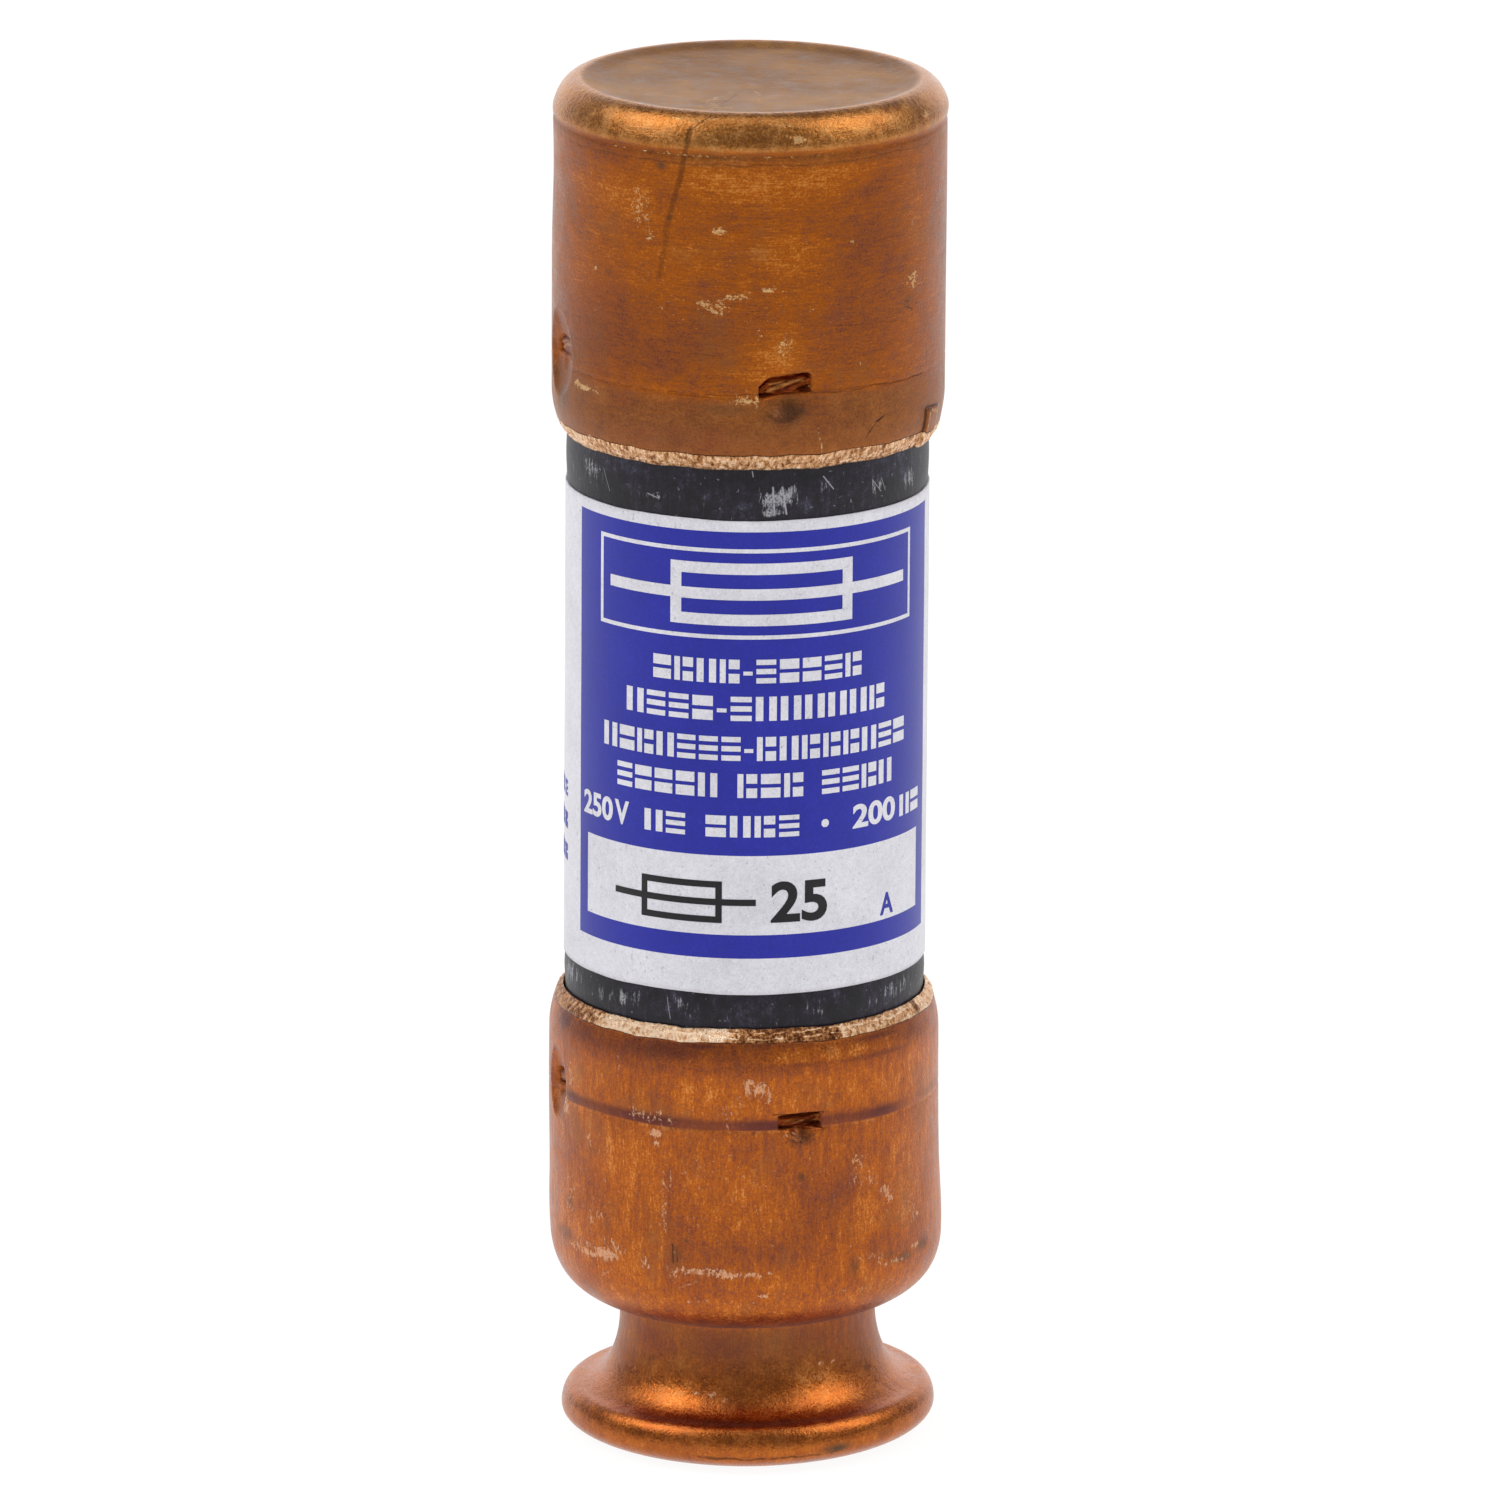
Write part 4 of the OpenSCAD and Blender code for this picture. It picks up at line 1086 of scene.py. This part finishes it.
def black_fibre():
    """Satin black laminate, with rubbed marks and dust."""
    g = Graph("black_fibre")
    cloud = g.noise(0.5, 4, 0.6)
    mottle = g.noise(2.6, 4, 0.7, shift=5)
    fibre = g.noise(1.0, 4, 0.65, stretch=(6.0, 6.0, 1.1))
    grain = g.noise(13.0, 3, 0.7)
    level = g.blend_of(0.42, ((cloud, 1.3), (mottle, 1.5), (fibre, 0.8), (grain, 0.9)))
    color = g.ramp(level, (
        (0.15, (0.005, 0.0038, 0.0068)), (0.5, (0.013, 0.0102, 0.0168)), (0.75, (0.029, 0.026, 0.044)),
        (1.0, (0.080, 0.074, 0.110)),
    ))
    smear = g.step(g.plus(g.times(g.layer("smear"), 0.40), fibre), 0.66, 0.80)
    lines = g.times(g.scratches(g.unrolled(), TUBE_LINES), g.step(grain, 0.2, 0.45))
    marks = g.most(g.times(g.times(smear, 0.85), g.step(grain, 0.3, 0.6)), lines)
    color = g.mix(marks, color, (0.42, 0.42, 0.45))
    dust = g.step(g.noise(5.5, 2, 0.5, shift=4), 0.68, 0.76, 0.55)
    color = g.mix(dust, color, (0.24, 0.24, 0.30))
    rough = g.plus(g.times(cloud, 0.2), g.plus(g.times(marks, 0.25), 0.33))
    height = g.plus(g.times(fibre, 0.008), g.times(mottle, 0.012))
    return g.finish(color, rough, height, Specular_IOR_Level=0.3)


PANEL = (-64.8, 76.8, 19.55, 35.46)
WINDOW = (-59.6, 70.0, 20.43, 23.40)
BADGE = (-52.8, 63.0, 31.48, 34.83)
BADGE_LINE = 0.15
LABEL_EDGE = 0.02


def with_lines(even, lines, clear):
    """Even steps, less those closer than clear to a line, and the lines themselves."""
    return np.array(sorted([x for x in even if min(abs(x - y) for y in lines) > clear] + lines))


def shrink(rect, by):
    """A rectangle of two bearings and two heights, made smaller all round by a length."""
    turn = math.degrees(by / LABEL_R)
    return rect[0] + turn, rect[1] - turn, rect[2] + by, rect[3] - by


def within(rect, bearing, z):
    return (bearing > rect[0]) & (bearing < rect[1]) & (z > rect[2]) & (z < rect[3])


def paper_label():
    """The paper label, white with a printed blue panel."""
    inner_badge = shrink(BADGE, BADGE_LINE)
    rects = (PANEL, WINDOW, BADGE, inner_badge)
    lines_b = sorted({r[i] for r in rects for i in (0, 1)})
    lines_z = sorted({r[i] for r in rects for i in (2, 3)})
    bearings = with_lines(np.linspace(-180, 180, 360, endpoint=False), lines_b, 0.35)
    heights = with_lines(np.linspace(LABEL_Z0, LABEL_Z1, 90), lines_z, 0.07)
    edge_r, inner_r = LABEL_R - LABEL_EDGE, TUBE_R - LABEL_EDGE
    outer = [(edge_r, LABEL_Z0)] + [(LABEL_R, z) for z in heights] + [(edge_r, LABEL_Z1)]
    inner = [(inner_r, LABEL_Z1), (inner_r, LABEL_Z0)]
    r, z, b = turned_grid((outer + inner)[::-1], bearings)
    wave = rough_edge(len(bearings), 0.012, 12, 31)[None, :]
    z = z + wave * (smooth(1 - (LABEL_Z1 - z) / 0.3) + smooth(1 - (z - LABEL_Z0) / 0.3))
    r = r + (r > TUBE_R) * ripple(b, z * 1.5, 0.004, 4)
    mesh = lathe("paper_label", r, z, bearings, True)
    mesh.materials.append(ink("label_white", PAPER))
    mesh.materials.append(ink("label_blue", BLUE))
    for face in mesh.polygons:
        x, y, height = face.center / MM
        turn = math.degrees(math.atan2(x, -y))
        outline = within(BADGE, turn, height) and not within(inner_badge, turn, height)
        plain = within(WINDOW, turn, height) or outline
        face.material_index = int(within(PANEL, turn, height) and not plain)
    made = add_object("paper_label", mesh)
    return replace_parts(made, "label")


PAPER = (0.72, 0.71, 0.76)
BLUE = (0.012, 0.017, 0.33)
BLACK = (0.006, 0.005, 0.007)


def ink(name, tone):
    """Printed or bare label paper, with paper fibres and small flecks."""
    g = Graph(name)
    cloud = g.noise(0.5, 3, 0.6)
    fibre = g.noise(4.5, 4, 0.75, shift=2)
    grain = g.noise(14.0, 3, 0.7, shift=6)
    fleck = g.noise(6.5, 2, 0.6, shift=8)
    light = tuple(min(1.0, c * 1.16 + 0.006) for c in tone)
    deep = tuple(c * 0.80 for c in tone)
    level = g.blend_of(0.5, ((cloud, 0.7), (fibre, 0.9), (grain, 1.2)))
    color = g.ramp(level, ((0.1, deep), (0.5, tone), (0.9, light)))
    speck = tuple(c * 0.50 + 0.02 for c in tone)
    color = g.mix(g.step(fleck, 0.64, 0.72, 0.6), color, speck)
    rough = g.plus(g.times(fibre, 0.2), 0.38)
    height = g.plus(g.times(fibre, 0.006), g.times(grain, 0.002))
    return g.finish(color, rough, height, Specular_IOR_Level=0.3, Sheen_Weight=0.20)


# ---------------------------------------------------------------- label print

PRINT_SUNK, PRINT_PROUD = 0.02, 0.012
WRAP_STEP = 0.22


class Print:
    """Flat shapes drawn in mm, x round the label and y up, then wrapped on it."""

    def __init__(self):
        self.mesh = bmesh.new()

    def bar(self, x0, x1, y0, y1, soft=0.0):
        """An upright rectangle, its corners cut off by soft."""
        outline = [(x0 + soft, y0), (x1 - soft, y0), (x1, y0 + soft), (x1, y1 - soft),
                   (x1 - soft, y1), (x0 + soft, y1), (x0, y1 - soft), (x0, y0 + soft)]
        if not soft:
            outline = [(x0, y0), (x1, y0), (x1, y1), (x0, y1)]
        base = [self.mesh.verts.new((x, y, -PRINT_SUNK)) for x, y in outline]
        top = [self.mesh.verts.new((x, y, PRINT_PROUD)) for x, y in outline]
        self.mesh.faces.new(base[::-1])
        self.mesh.faces.new(top)
        for i in range(len(outline)):
            j = (i + 1) % len(outline)
            self.mesh.faces.new([base[i], base[j], top[j], top[i]])

    def box(self, x0, x1, y0, y1, line):
        """A rectangle drawn as an outline."""
        self.bar(x0, x1, y0, y0 + line)
        self.bar(x0, x1, y1 - line, y1)
        self.bar(x0, x0 + line, y0 + line, y1 - line)
        self.bar(x1 - line, x1, y0 + line, y1 - line)

    def fuse_symbol(self, x0, x1, y0, y1, line):
        """A box on a line, the drawing symbol for a fuse."""
        lead = (x1 - x0) * 0.22
        mid = (y0 + y1) / 2
        self.box(x0 + lead, x1 - lead, y0, y1, line)
        self.bar(x0, x0 + lead, mid - line / 2, mid + line / 2)
        self.bar(x1 - lead, x1, mid - line / 2, mid + line / 2)
        self.bar(x0 + lead + line, x1 - lead - line, mid - line / 2, mid + line / 2)

    def glyph(self, kind, x0, x1, y0, y1):
        """A small mark that stands for one printed character."""
        w, h = x1 - x0, y1 - y0
        if kind == "dash":
            self.bar(x0, x1, y0 + h * 0.34, y0 + h * 0.50)
        elif kind == "dot":
            self.bar(x0 + w * 0.2, x1 - w * 0.2, y0 + h * 0.3, y0 + h * 0.3 + w * 0.6, w * 0.17)
        elif kind == "posts":
            self.bar(x0, x0 + w * 0.36, y0, y1)
            self.bar(x1 - w * 0.36, x1, y0, y1)
        elif kind == "rungs":
            for i in range(3):
                self.bar(x0, x1, y0 + i * h * 0.39, y0 + i * h * 0.39 + h * 0.22)
        elif kind == "brick":
            self.bar(x0, x1, y0, y0 + h * 0.42)
            self.bar(x0, x1, y0 + h * 0.58, y1)
        elif kind == "stile":
            self.bar(x0, x0 + w * 0.3, y0, y1)
            self.bar(x0 + w * 0.45, x1, y0, y0 + h * 0.4)
            self.bar(x0 + w * 0.45, x1, y0 + h * 0.6, y1)

    def row(self, words, x0, x1, y0, y1, pick):
        """Words of character marks between x0 and x1. - is a dash and . a dot."""
        kinds = ("posts", "rungs", "brick", "stile")
        widths = {"-": 0.55, ".": 0.7, " ": 0.7}
        unit = (x1 - x0) / sum(widths.get(c, 1.0) for c in words)
        x = x0
        for c in words:
            wide = widths.get(c, 1.0) * unit
            gap = 0.16 * unit
            if c != " ":
                kind = {"-": "dash", ".": "dot"}.get(c) or kinds[pick.integers(len(kinds))]
                self.glyph(kind, x + gap / 2, x + wide - gap / 2, y0, y1)
            x += wide

    def digits(self, text, x0, x1, y0, y1, weight):
        """Figures stretched to fill a rectangle."""
        curve = bpy.data.curves.new("figures", "FONT")
        curve.body, curve.offset, curve.extrude, curve.resolution_u = text, weight, 0.5, 5
        holder = link_new("figures", curve)
        bpy.context.view_layer.update()
        flat = holder.to_mesh()
        added = bmesh.new()
        added.from_mesh(flat)
        bmesh.ops.remove_doubles(added, verts=added.verts, dist=1e-5)
        xs, ys = [v.co.x for v in added.verts], [v.co.y for v in added.verts]
        low, high = (min(xs), min(ys)), (max(xs), max(ys))
        for v in added.verts:
            v.co.x = x0 + (v.co.x - low[0]) / (high[0] - low[0]) * (x1 - x0)
            v.co.y = y0 + (v.co.y - low[1]) / (high[1] - low[1]) * (y1 - y0)
            v.co.z = PRINT_PROUD if v.co.z > 0 else -PRINT_SUNK
        scratch = bpy.data.meshes.new("figures")
        added.to_mesh(scratch)
        added.free()
        self.mesh.from_mesh(scratch)
        bpy.data.meshes.remove(scratch)
        holder.to_mesh_clear()
        bpy.data.objects.remove(holder)
        bpy.data.curves.remove(curve)

    def wrap(self, name, material):
        """Slices the flat shapes, bends them round the label and makes the piece."""
        xs = [v.co.x for v in self.mesh.verts]
        for x in np.arange(min(xs) + WRAP_STEP, max(xs), WRAP_STEP):
            everything = self.mesh.verts[:] + self.mesh.edges[:] + self.mesh.faces[:]
            bmesh.ops.bisect_plane(self.mesh, geom=everything, plane_co=(x, 0, 0), plane_no=(1, 0, 0))
        for v in self.mesh.verts:
            r, turn = LABEL_R + v.co.z, v.co.x / LABEL_R
            v.co = Vector((r * math.sin(turn), -r * math.cos(turn), v.co.y)) * MM
        mesh = bpy.data.meshes.new(name)
        self.mesh.to_mesh(mesh)
        self.mesh.free()
        mesh.materials.append(material)
        return add_object(name, mesh)


def at(bearing):
    """Distance round the label from the front."""
    return math.radians(bearing) * LABEL_R


TEXT_ROWS = [
    ("xxxx-xxxxx", -31.0, 39.5, 29.85, 30.73),
    ("xxxx-xxxxxxx", -41.2, 49.6, 28.45, 29.35),
    ("xxxxxxx-xxxxxxxx", -51.2, 60.3, 26.96, 27.85),
    ("xxxxx xxx xxxx", -45.0, 53.5, 25.58, 26.47),
]


def white_print():
    """On the blue panel: the fuse symbol, rows of character marks, and the voltage."""
    pick = np.random.default_rng(5)
    page = Print()
    page.fuse_symbol(at(-47.9), at(58.5), 31.98, 34.3, 0.42)
    for words, b0, b1, y0, y1 in TEXT_ROWS:
        page.row(words, at(b0), at(b1), y0, y1, pick)
    y0, y1 = 24.1, 24.9
    page.digits("250", at(-62.0), at(-46.5), y0, y1 + 0.1, 0.03)
    page.digits("V", at(-45.5), at(-39.5), y0, y1 + 0.1, 0.03)
    page.row("xx xxxx . ", at(-34), at(34), y0, y1, pick)
    page.digits("200", at(36), at(55), y0, y1 + 0.1, 0.03)
    page.row("xx", at(57), at(71.5), y0, y1, pick)
    page.wrap("label_print_white", bpy.data.materials["label_white"])


def rating_print():
    """In the white window: the fuse symbol and the current rating."""
    page = Print()
    page.fuse_symbol(at(-45), at(3.5), 20.87, 22.43, 0.24)
    page.digits("25", at(8.2), at(26.8), 20.87, 22.43, 0.028)
    page.wrap("label_print_black", ink("label_black", BLACK))
    page = Print()
    page.digits("A", at(48), at(54.5), 20.6, 21.42, 0.02)
    pick = np.random.default_rng(8)
    for i in range(11):
        words = "xxxxx xxx xxxxxxx xx"[: 12 + int(pick.integers(8))]
        y = 33.6 - i * 1.15
        page.row(words, at(-178) + 1.2, at(-112), y, y + 0.5, pick)
    page.fuse_symbol(at(98), at(146), 29.5, 31.2, 0.22)
    for i in range(5):
        page.row("xxxx xxxxxx xxx"[i:], at(95), at(150), 27.4 - i * 1.3, 28.0 - i * 1.3, pick)
    for i in range(3):
        page.row("xx xxx xx", at(-96), at(-77.6), 24.2 - i * 1.2, 24.8 - i * 1.2, pick)
    page.wrap("label_print_blue", bpy.data.materials["label_blue"])


LAP_TURN = 14
LAP_PROUD, LAP_SUNK, LAP_LIFT = 0.055, 0.03, 0.015


def label_lap():
    """The strip at the back where the label's end is glued over its start."""
    page = Print()
    start, width = at(180), at(LAP_TURN)
    page.bar(start, start + width, LABEL_Z0, LABEL_Z1)
    for v in page.mesh.verts:
        free = smooth(np.array((v.co.x - start - width * 0.6) / (width * 0.4)))
        v.co.z = (LAP_PROUD if v.co.z > 0 else -LAP_SUNK) + LAP_LIFT * float(free)
    page.wrap("label_lap", bpy.data.materials["label_white"])


# ------------------------------------------------------------- inside pieces

def metal(name, tone, rough, streak=(1, 1, 5)):
    """Bright metal with fine drawing lines and a little tarnish."""
    g = Graph(name)
    cloud = g.noise(0.9, 4, 0.6)
    lines = g.noise(2.5, 3, 0.6, stretch=streak)
    color = g.mix(g.step(cloud, 0.35, 0.7), tone, tuple(c * 0.72 for c in tone))
    color = g.mix(g.step(lines, 0.55, 0.75, 0.3), color, tuple(min(1, c * 1.25) for c in tone))
    roughness = g.plus(g.times(lines, 0.2), rough - 0.1)
    return g.finish(color, roughness, lines, depth=0.006, Metallic=1.0)


def cast_solder():
    """Tin solder, dull and a little wrinkled."""
    g = Graph("cast_solder")
    cloud = g.noise(0.8, 4, 0.6)
    wrinkle = g.noise(1.6, 5, 0.55)
    color = g.mix(g.step(cloud, 0.3, 0.7), (0.62, 0.63, 0.66), (0.42, 0.43, 0.46))
    rough = g.plus(g.times(wrinkle, 0.3), 0.2)
    return g.finish(color, rough, wrinkle, depth=0.06, Metallic=1.0)


def pressed_board(name, tone):
    """Vulcanised fibre, with layers and fibres."""
    g = Graph(name)
    layers = g.noise(1.0, 4, 0.6, stretch=(0.5, 0.5, 9.0))
    fibre = g.noise(5.0, 4, 0.7)
    color = g.mix(g.step(layers, 0.35, 0.65), tone, tuple(c * 0.7 for c in tone))
    color = g.mix(g.step(fibre, 0.55, 0.7, 0.4), color, tuple(min(1, c * 1.3) for c in tone))
    rough = g.plus(g.times(fibre, 0.2), 0.6)
    return g.finish(color, rough, g.plus(layers, fibre), depth=0.02)


def quartz_sand():
    """Packed quartz grains of about 0.3 mm."""
    g = Graph("quartz_sand")
    cells = g.node("TexVoronoi", {"Vector": g.place, "Scale": 3.2})
    tone = g.node("SeparateXYZ", {0: cells.outputs["Color"]}).outputs[0]
    color = g.mix(g.step(tone, 0.0, 1.0), (0.50, 0.42, 0.29), (0.80, 0.75, 0.64))
    gap = cells.outputs["Distance"]
    # Painted shade: darker in the gaps between grains.
    color = g.mix(g.step(gap, 0.45, 0.75, 0.7), color, (0.22, 0.17, 0.11))
    rough = g.plus(g.times(tone, 0.3), 0.35)
    return g.finish(color, rough, g.times(gap, -1.0), depth=0.12)


def coil_point(t, turns, radius, z0, z1):
    """A point and its level on a spring whose end turns lie flat."""
    level = z0 + (z1 - z0) * float(smooth(np.array((t * turns - 0.6) / (turns - 1.2))))
    even = z0 + (z1 - z0) * t
    z = even * 0.6 + level * 0.4
    a = 2 * math.pi * turns * t
    return Vector((radius * math.cos(a), radius * math.sin(a), z))


def wire_mesh(name, path, wire, sides):
    """A round wire of radius wire along a coil's path, closed at both ends. In mm."""
    last = len(path) - 1
    points, faces = [], []
    for i, p in enumerate(path):
        ahead = (path[min(i + 1, last)] - path[max(i - 1, 0)]).normalized()
        out = Vector((p.x, p.y, 0)).normalized()
        side = ahead.cross(out).normalized()
        for k in range(sides):
            a = 2 * math.pi * k / sides
            points.append((p + (out * math.cos(a) + side * math.sin(a)) * wire) * MM)
    for i in range(last):
        for k in range(sides):
            m = (k + 1) % sides
            faces.append((i * sides + k, i * sides + m, (i + 1) * sides + m, (i + 1) * sides + k))
    faces.append(tuple(range(sides))[::-1])
    faces.append(tuple(last * sides + k for k in range(sides)))
    mesh = bpy.data.meshes.new(name)
    mesh.from_pydata(points, [], faces)
    mesh.polygons.foreach_set("use_smooth", np.ones(len(faces), bool))
    bm = bmesh.new()
    bm.from_mesh(mesh)
    bmesh.ops.recalc_face_normals(bm, faces=bm.faces)
    bm.to_mesh(mesh)
    bm.free()
    return mesh


SPRING_WIRE = 0.17
SPRING_TURNS = 5


def trigger_spring():
    """The trigger's spring: round wire, between the seat and the plunger's flange."""
    low, high = box_mm("trigger_spring")
    seat_z, flange_z = high[2], low[2]
    steps = 200
    radius = high[0] - SPRING_WIRE
    ends = (flange_z + SPRING_WIRE, seat_z - SPRING_WIRE)
    path = [coil_point(i / steps, SPRING_TURNS, radius, *ends) for i in range(steps + 1)]
    mesh = wire_mesh("coil_spring", path, SPRING_WIRE, 12)
    made = link_new("coil_spring", mesh)
    mesh.materials.append(metal("spring_wire", (0.50, 0.51, 0.54), 0.28, (1, 1, 1)))
    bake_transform(made)
    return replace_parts(made, "trigger_spring")


def dress(nodes, material):
    """Gives CAD nodes that stay visible their material."""
    for node in nodes:
        slots = frame["nodes"][node].data.materials
        slots.clear()
        slots.append(material)


def inside_pieces():
    dress(["top_solder", "bottom_solder", "absorber_solder", "link_solder"], cast_solder())
    dress(["fusible_alloy"], metal("low_melting_alloy", (0.40, 0.41, 0.43), 0.5))
    boards = ["top_end_washer", "bottom_end_washer", "upper_barrier_disc", "lower_barrier_disc"]
    dress(boards, pressed_board("fibre_board", (0.36, 0.22, 0.10)))
    dress(["insulating_sleeve"], pressed_board("sleeve_fibre", (0.56, 0.43, 0.25)))
    strips = ["short_circuit_strip", "bottom_link", "trigger_plunger"]
    dress(strips, metal("rolled_copper", (0.72, 0.33, 0.16), 0.32, (5, 1, 1)))
    dress(["heat_absorber"], metal("absorber_copper", (0.60, 0.27, 0.12), 0.42))
    dress(["trigger_barrel"], metal("drawn_brass", (0.72, 0.52, 0.20), 0.3))
    dress(["spring_seat_washer"], metal("seat_steel", (0.48, 0.49, 0.51), 0.35))
    dress(["sand_filler"], quartz_sand())
    trigger_spring()


# ------------------------------------------------------- floor, light, camera

def floor():
    """A pale floor under the fuse."""
    mesh = bpy.data.meshes.new("floor")
    half = 1.5
    corners = [(-half, -half, 0), (half, -half, 0), (half, half, 0), (-half, half, 0)]
    mesh.from_pydata(corners, [], [(0, 1, 2, 3)])
    made = link_new("floor", mesh)
    material = bpy.data.materials.new("pale_floor")
    material.use_nodes = True
    shader = material.node_tree.nodes["Principled BSDF"]
    shader.inputs["Base Color"].default_value = (0.12, 0.12, 0.12, 1)
    shader.inputs["Roughness"].default_value = 1.0
    shader.inputs["Specular IOR Level"].default_value = 0.0
    shader.inputs["Emission Color"].default_value = (1, 1, 1, 1)
    shader.inputs["Emission Strength"].default_value = 0.93
    mesh.materials.append(material)


def world():
    """White to the eye, and a dim grey to the surfaces, so that metal keeps its depth."""
    made = bpy.data.worlds.new("studio")
    bpy.context.scene.world = made
    made.use_nodes = True
    tree = made.node_tree
    tree.nodes.clear()
    seen = tree.nodes.new("ShaderNodeBackground")
    lit = tree.nodes.new("ShaderNodeBackground")
    seen.inputs["Color"].default_value = (1, 1, 1, 1)
    lit.inputs["Color"].default_value = (0.30, 0.30, 0.31, 1)
    mix = tree.nodes.new("ShaderNodeMixShader")
    path = tree.nodes.new("ShaderNodeLightPath")
    out = tree.nodes.new("ShaderNodeOutputWorld")
    tree.links.new(path.outputs["Is Camera Ray"], mix.inputs[0])
    tree.links.new(lit.outputs[0], mix.inputs[1])
    tree.links.new(seen.outputs[0], mix.inputs[2])
    tree.links.new(mix.outputs[0], out.inputs["Surface"])


def softbox(name, bearing, elevation, distance, width, height, radiance):
    """A soft area light aimed at the middle of the fuse. Sizes are in metres."""
    light = bpy.data.lights.new(name, "AREA")
    light.shape = "RECTANGLE"
    light.size, light.size_y = width, height
    light.energy = radiance * math.pi * width * height
    made = link_new(name, light)
    b, e = math.radians(bearing), math.radians(elevation)
    away = Vector((math.sin(b) * math.cos(e), -math.cos(b) * math.cos(e), math.sin(e)))
    aim = Vector((0, 0, LENGTH / 2 * MM))
    made.location = aim + away * distance
    made.rotation_mode = "QUATERNION"
    made.rotation_quaternion = (-away).to_track_quat("-Z", "Y")
    made.visible_camera = False
    return made


def lights():
    """Boxes left and right, a strip overhead, a bright wall behind, and a fill in front.

    The fill is left out of reflections, so the metal keeps its dark front.
    """
    softbox("softbox_left", -80, 48, 0.6, 0.40, 0.40, 3.0)
    softbox("softbox_right", 80, 46, 0.6, 0.40, 0.40, 2.7)
    softbox("overhead", 0, 88, 0.6, 0.30, 0.12, 2.4)
    softbox("back_wall", 180, 14, 0.8, 1.4, 0.55, 1.05)
    fill = softbox("front_fill", 0, 25, 0.9, 0.6, 0.5, 1.4)
    fill.visible_glossy = False


CAMERA_LENS = 367.9
CAMERA_DISTANCE = 560.0
CAMERA_ELEVATION = 14.79
CAMERA_AIM = (0.157, 0.219)
CAMERA_ROLL = 0.0067


def camera():
    """Stands well back and a little above, with the fuse's axis leaning a touch."""
    data = bpy.data.cameras.new("camera")
    data.sensor_width = 36.0
    data.lens = CAMERA_LENS
    data.clip_start, data.clip_end = 0.01, 10
    made = link_new("camera", data)
    e = math.radians(CAMERA_ELEVATION)
    right, rise = CAMERA_AIM
    back = Vector((0, -math.cos(e), math.sin(e)))
    up = Vector((0, math.sin(e), math.cos(e)))
    middle = Vector((0, 0, LENGTH / 2))
    spot = middle + back * CAMERA_DISTANCE
    aim = middle + Vector((right, 0, 0)) + up * rise
    made.location = spot * MM
    look = (aim - spot).to_track_quat("-Z", "Y")
    made.rotation_mode = "QUATERNION"
    made.rotation_quaternion = look @ Matrix.Rotation(CAMERA_ROLL, 3, "Z").to_quaternion()
    bpy.context.scene.camera = made


def main():
    plain_ferrule()
    rejection_ferrule()
    tube()
    paper_label()
    white_print()
    rating_print()
    label_lap()
    inside_pieces()
    floor()
    world()
    lights()
    camera()
    bpy.context.scene.view_settings.view_transform = "Standard"


main()
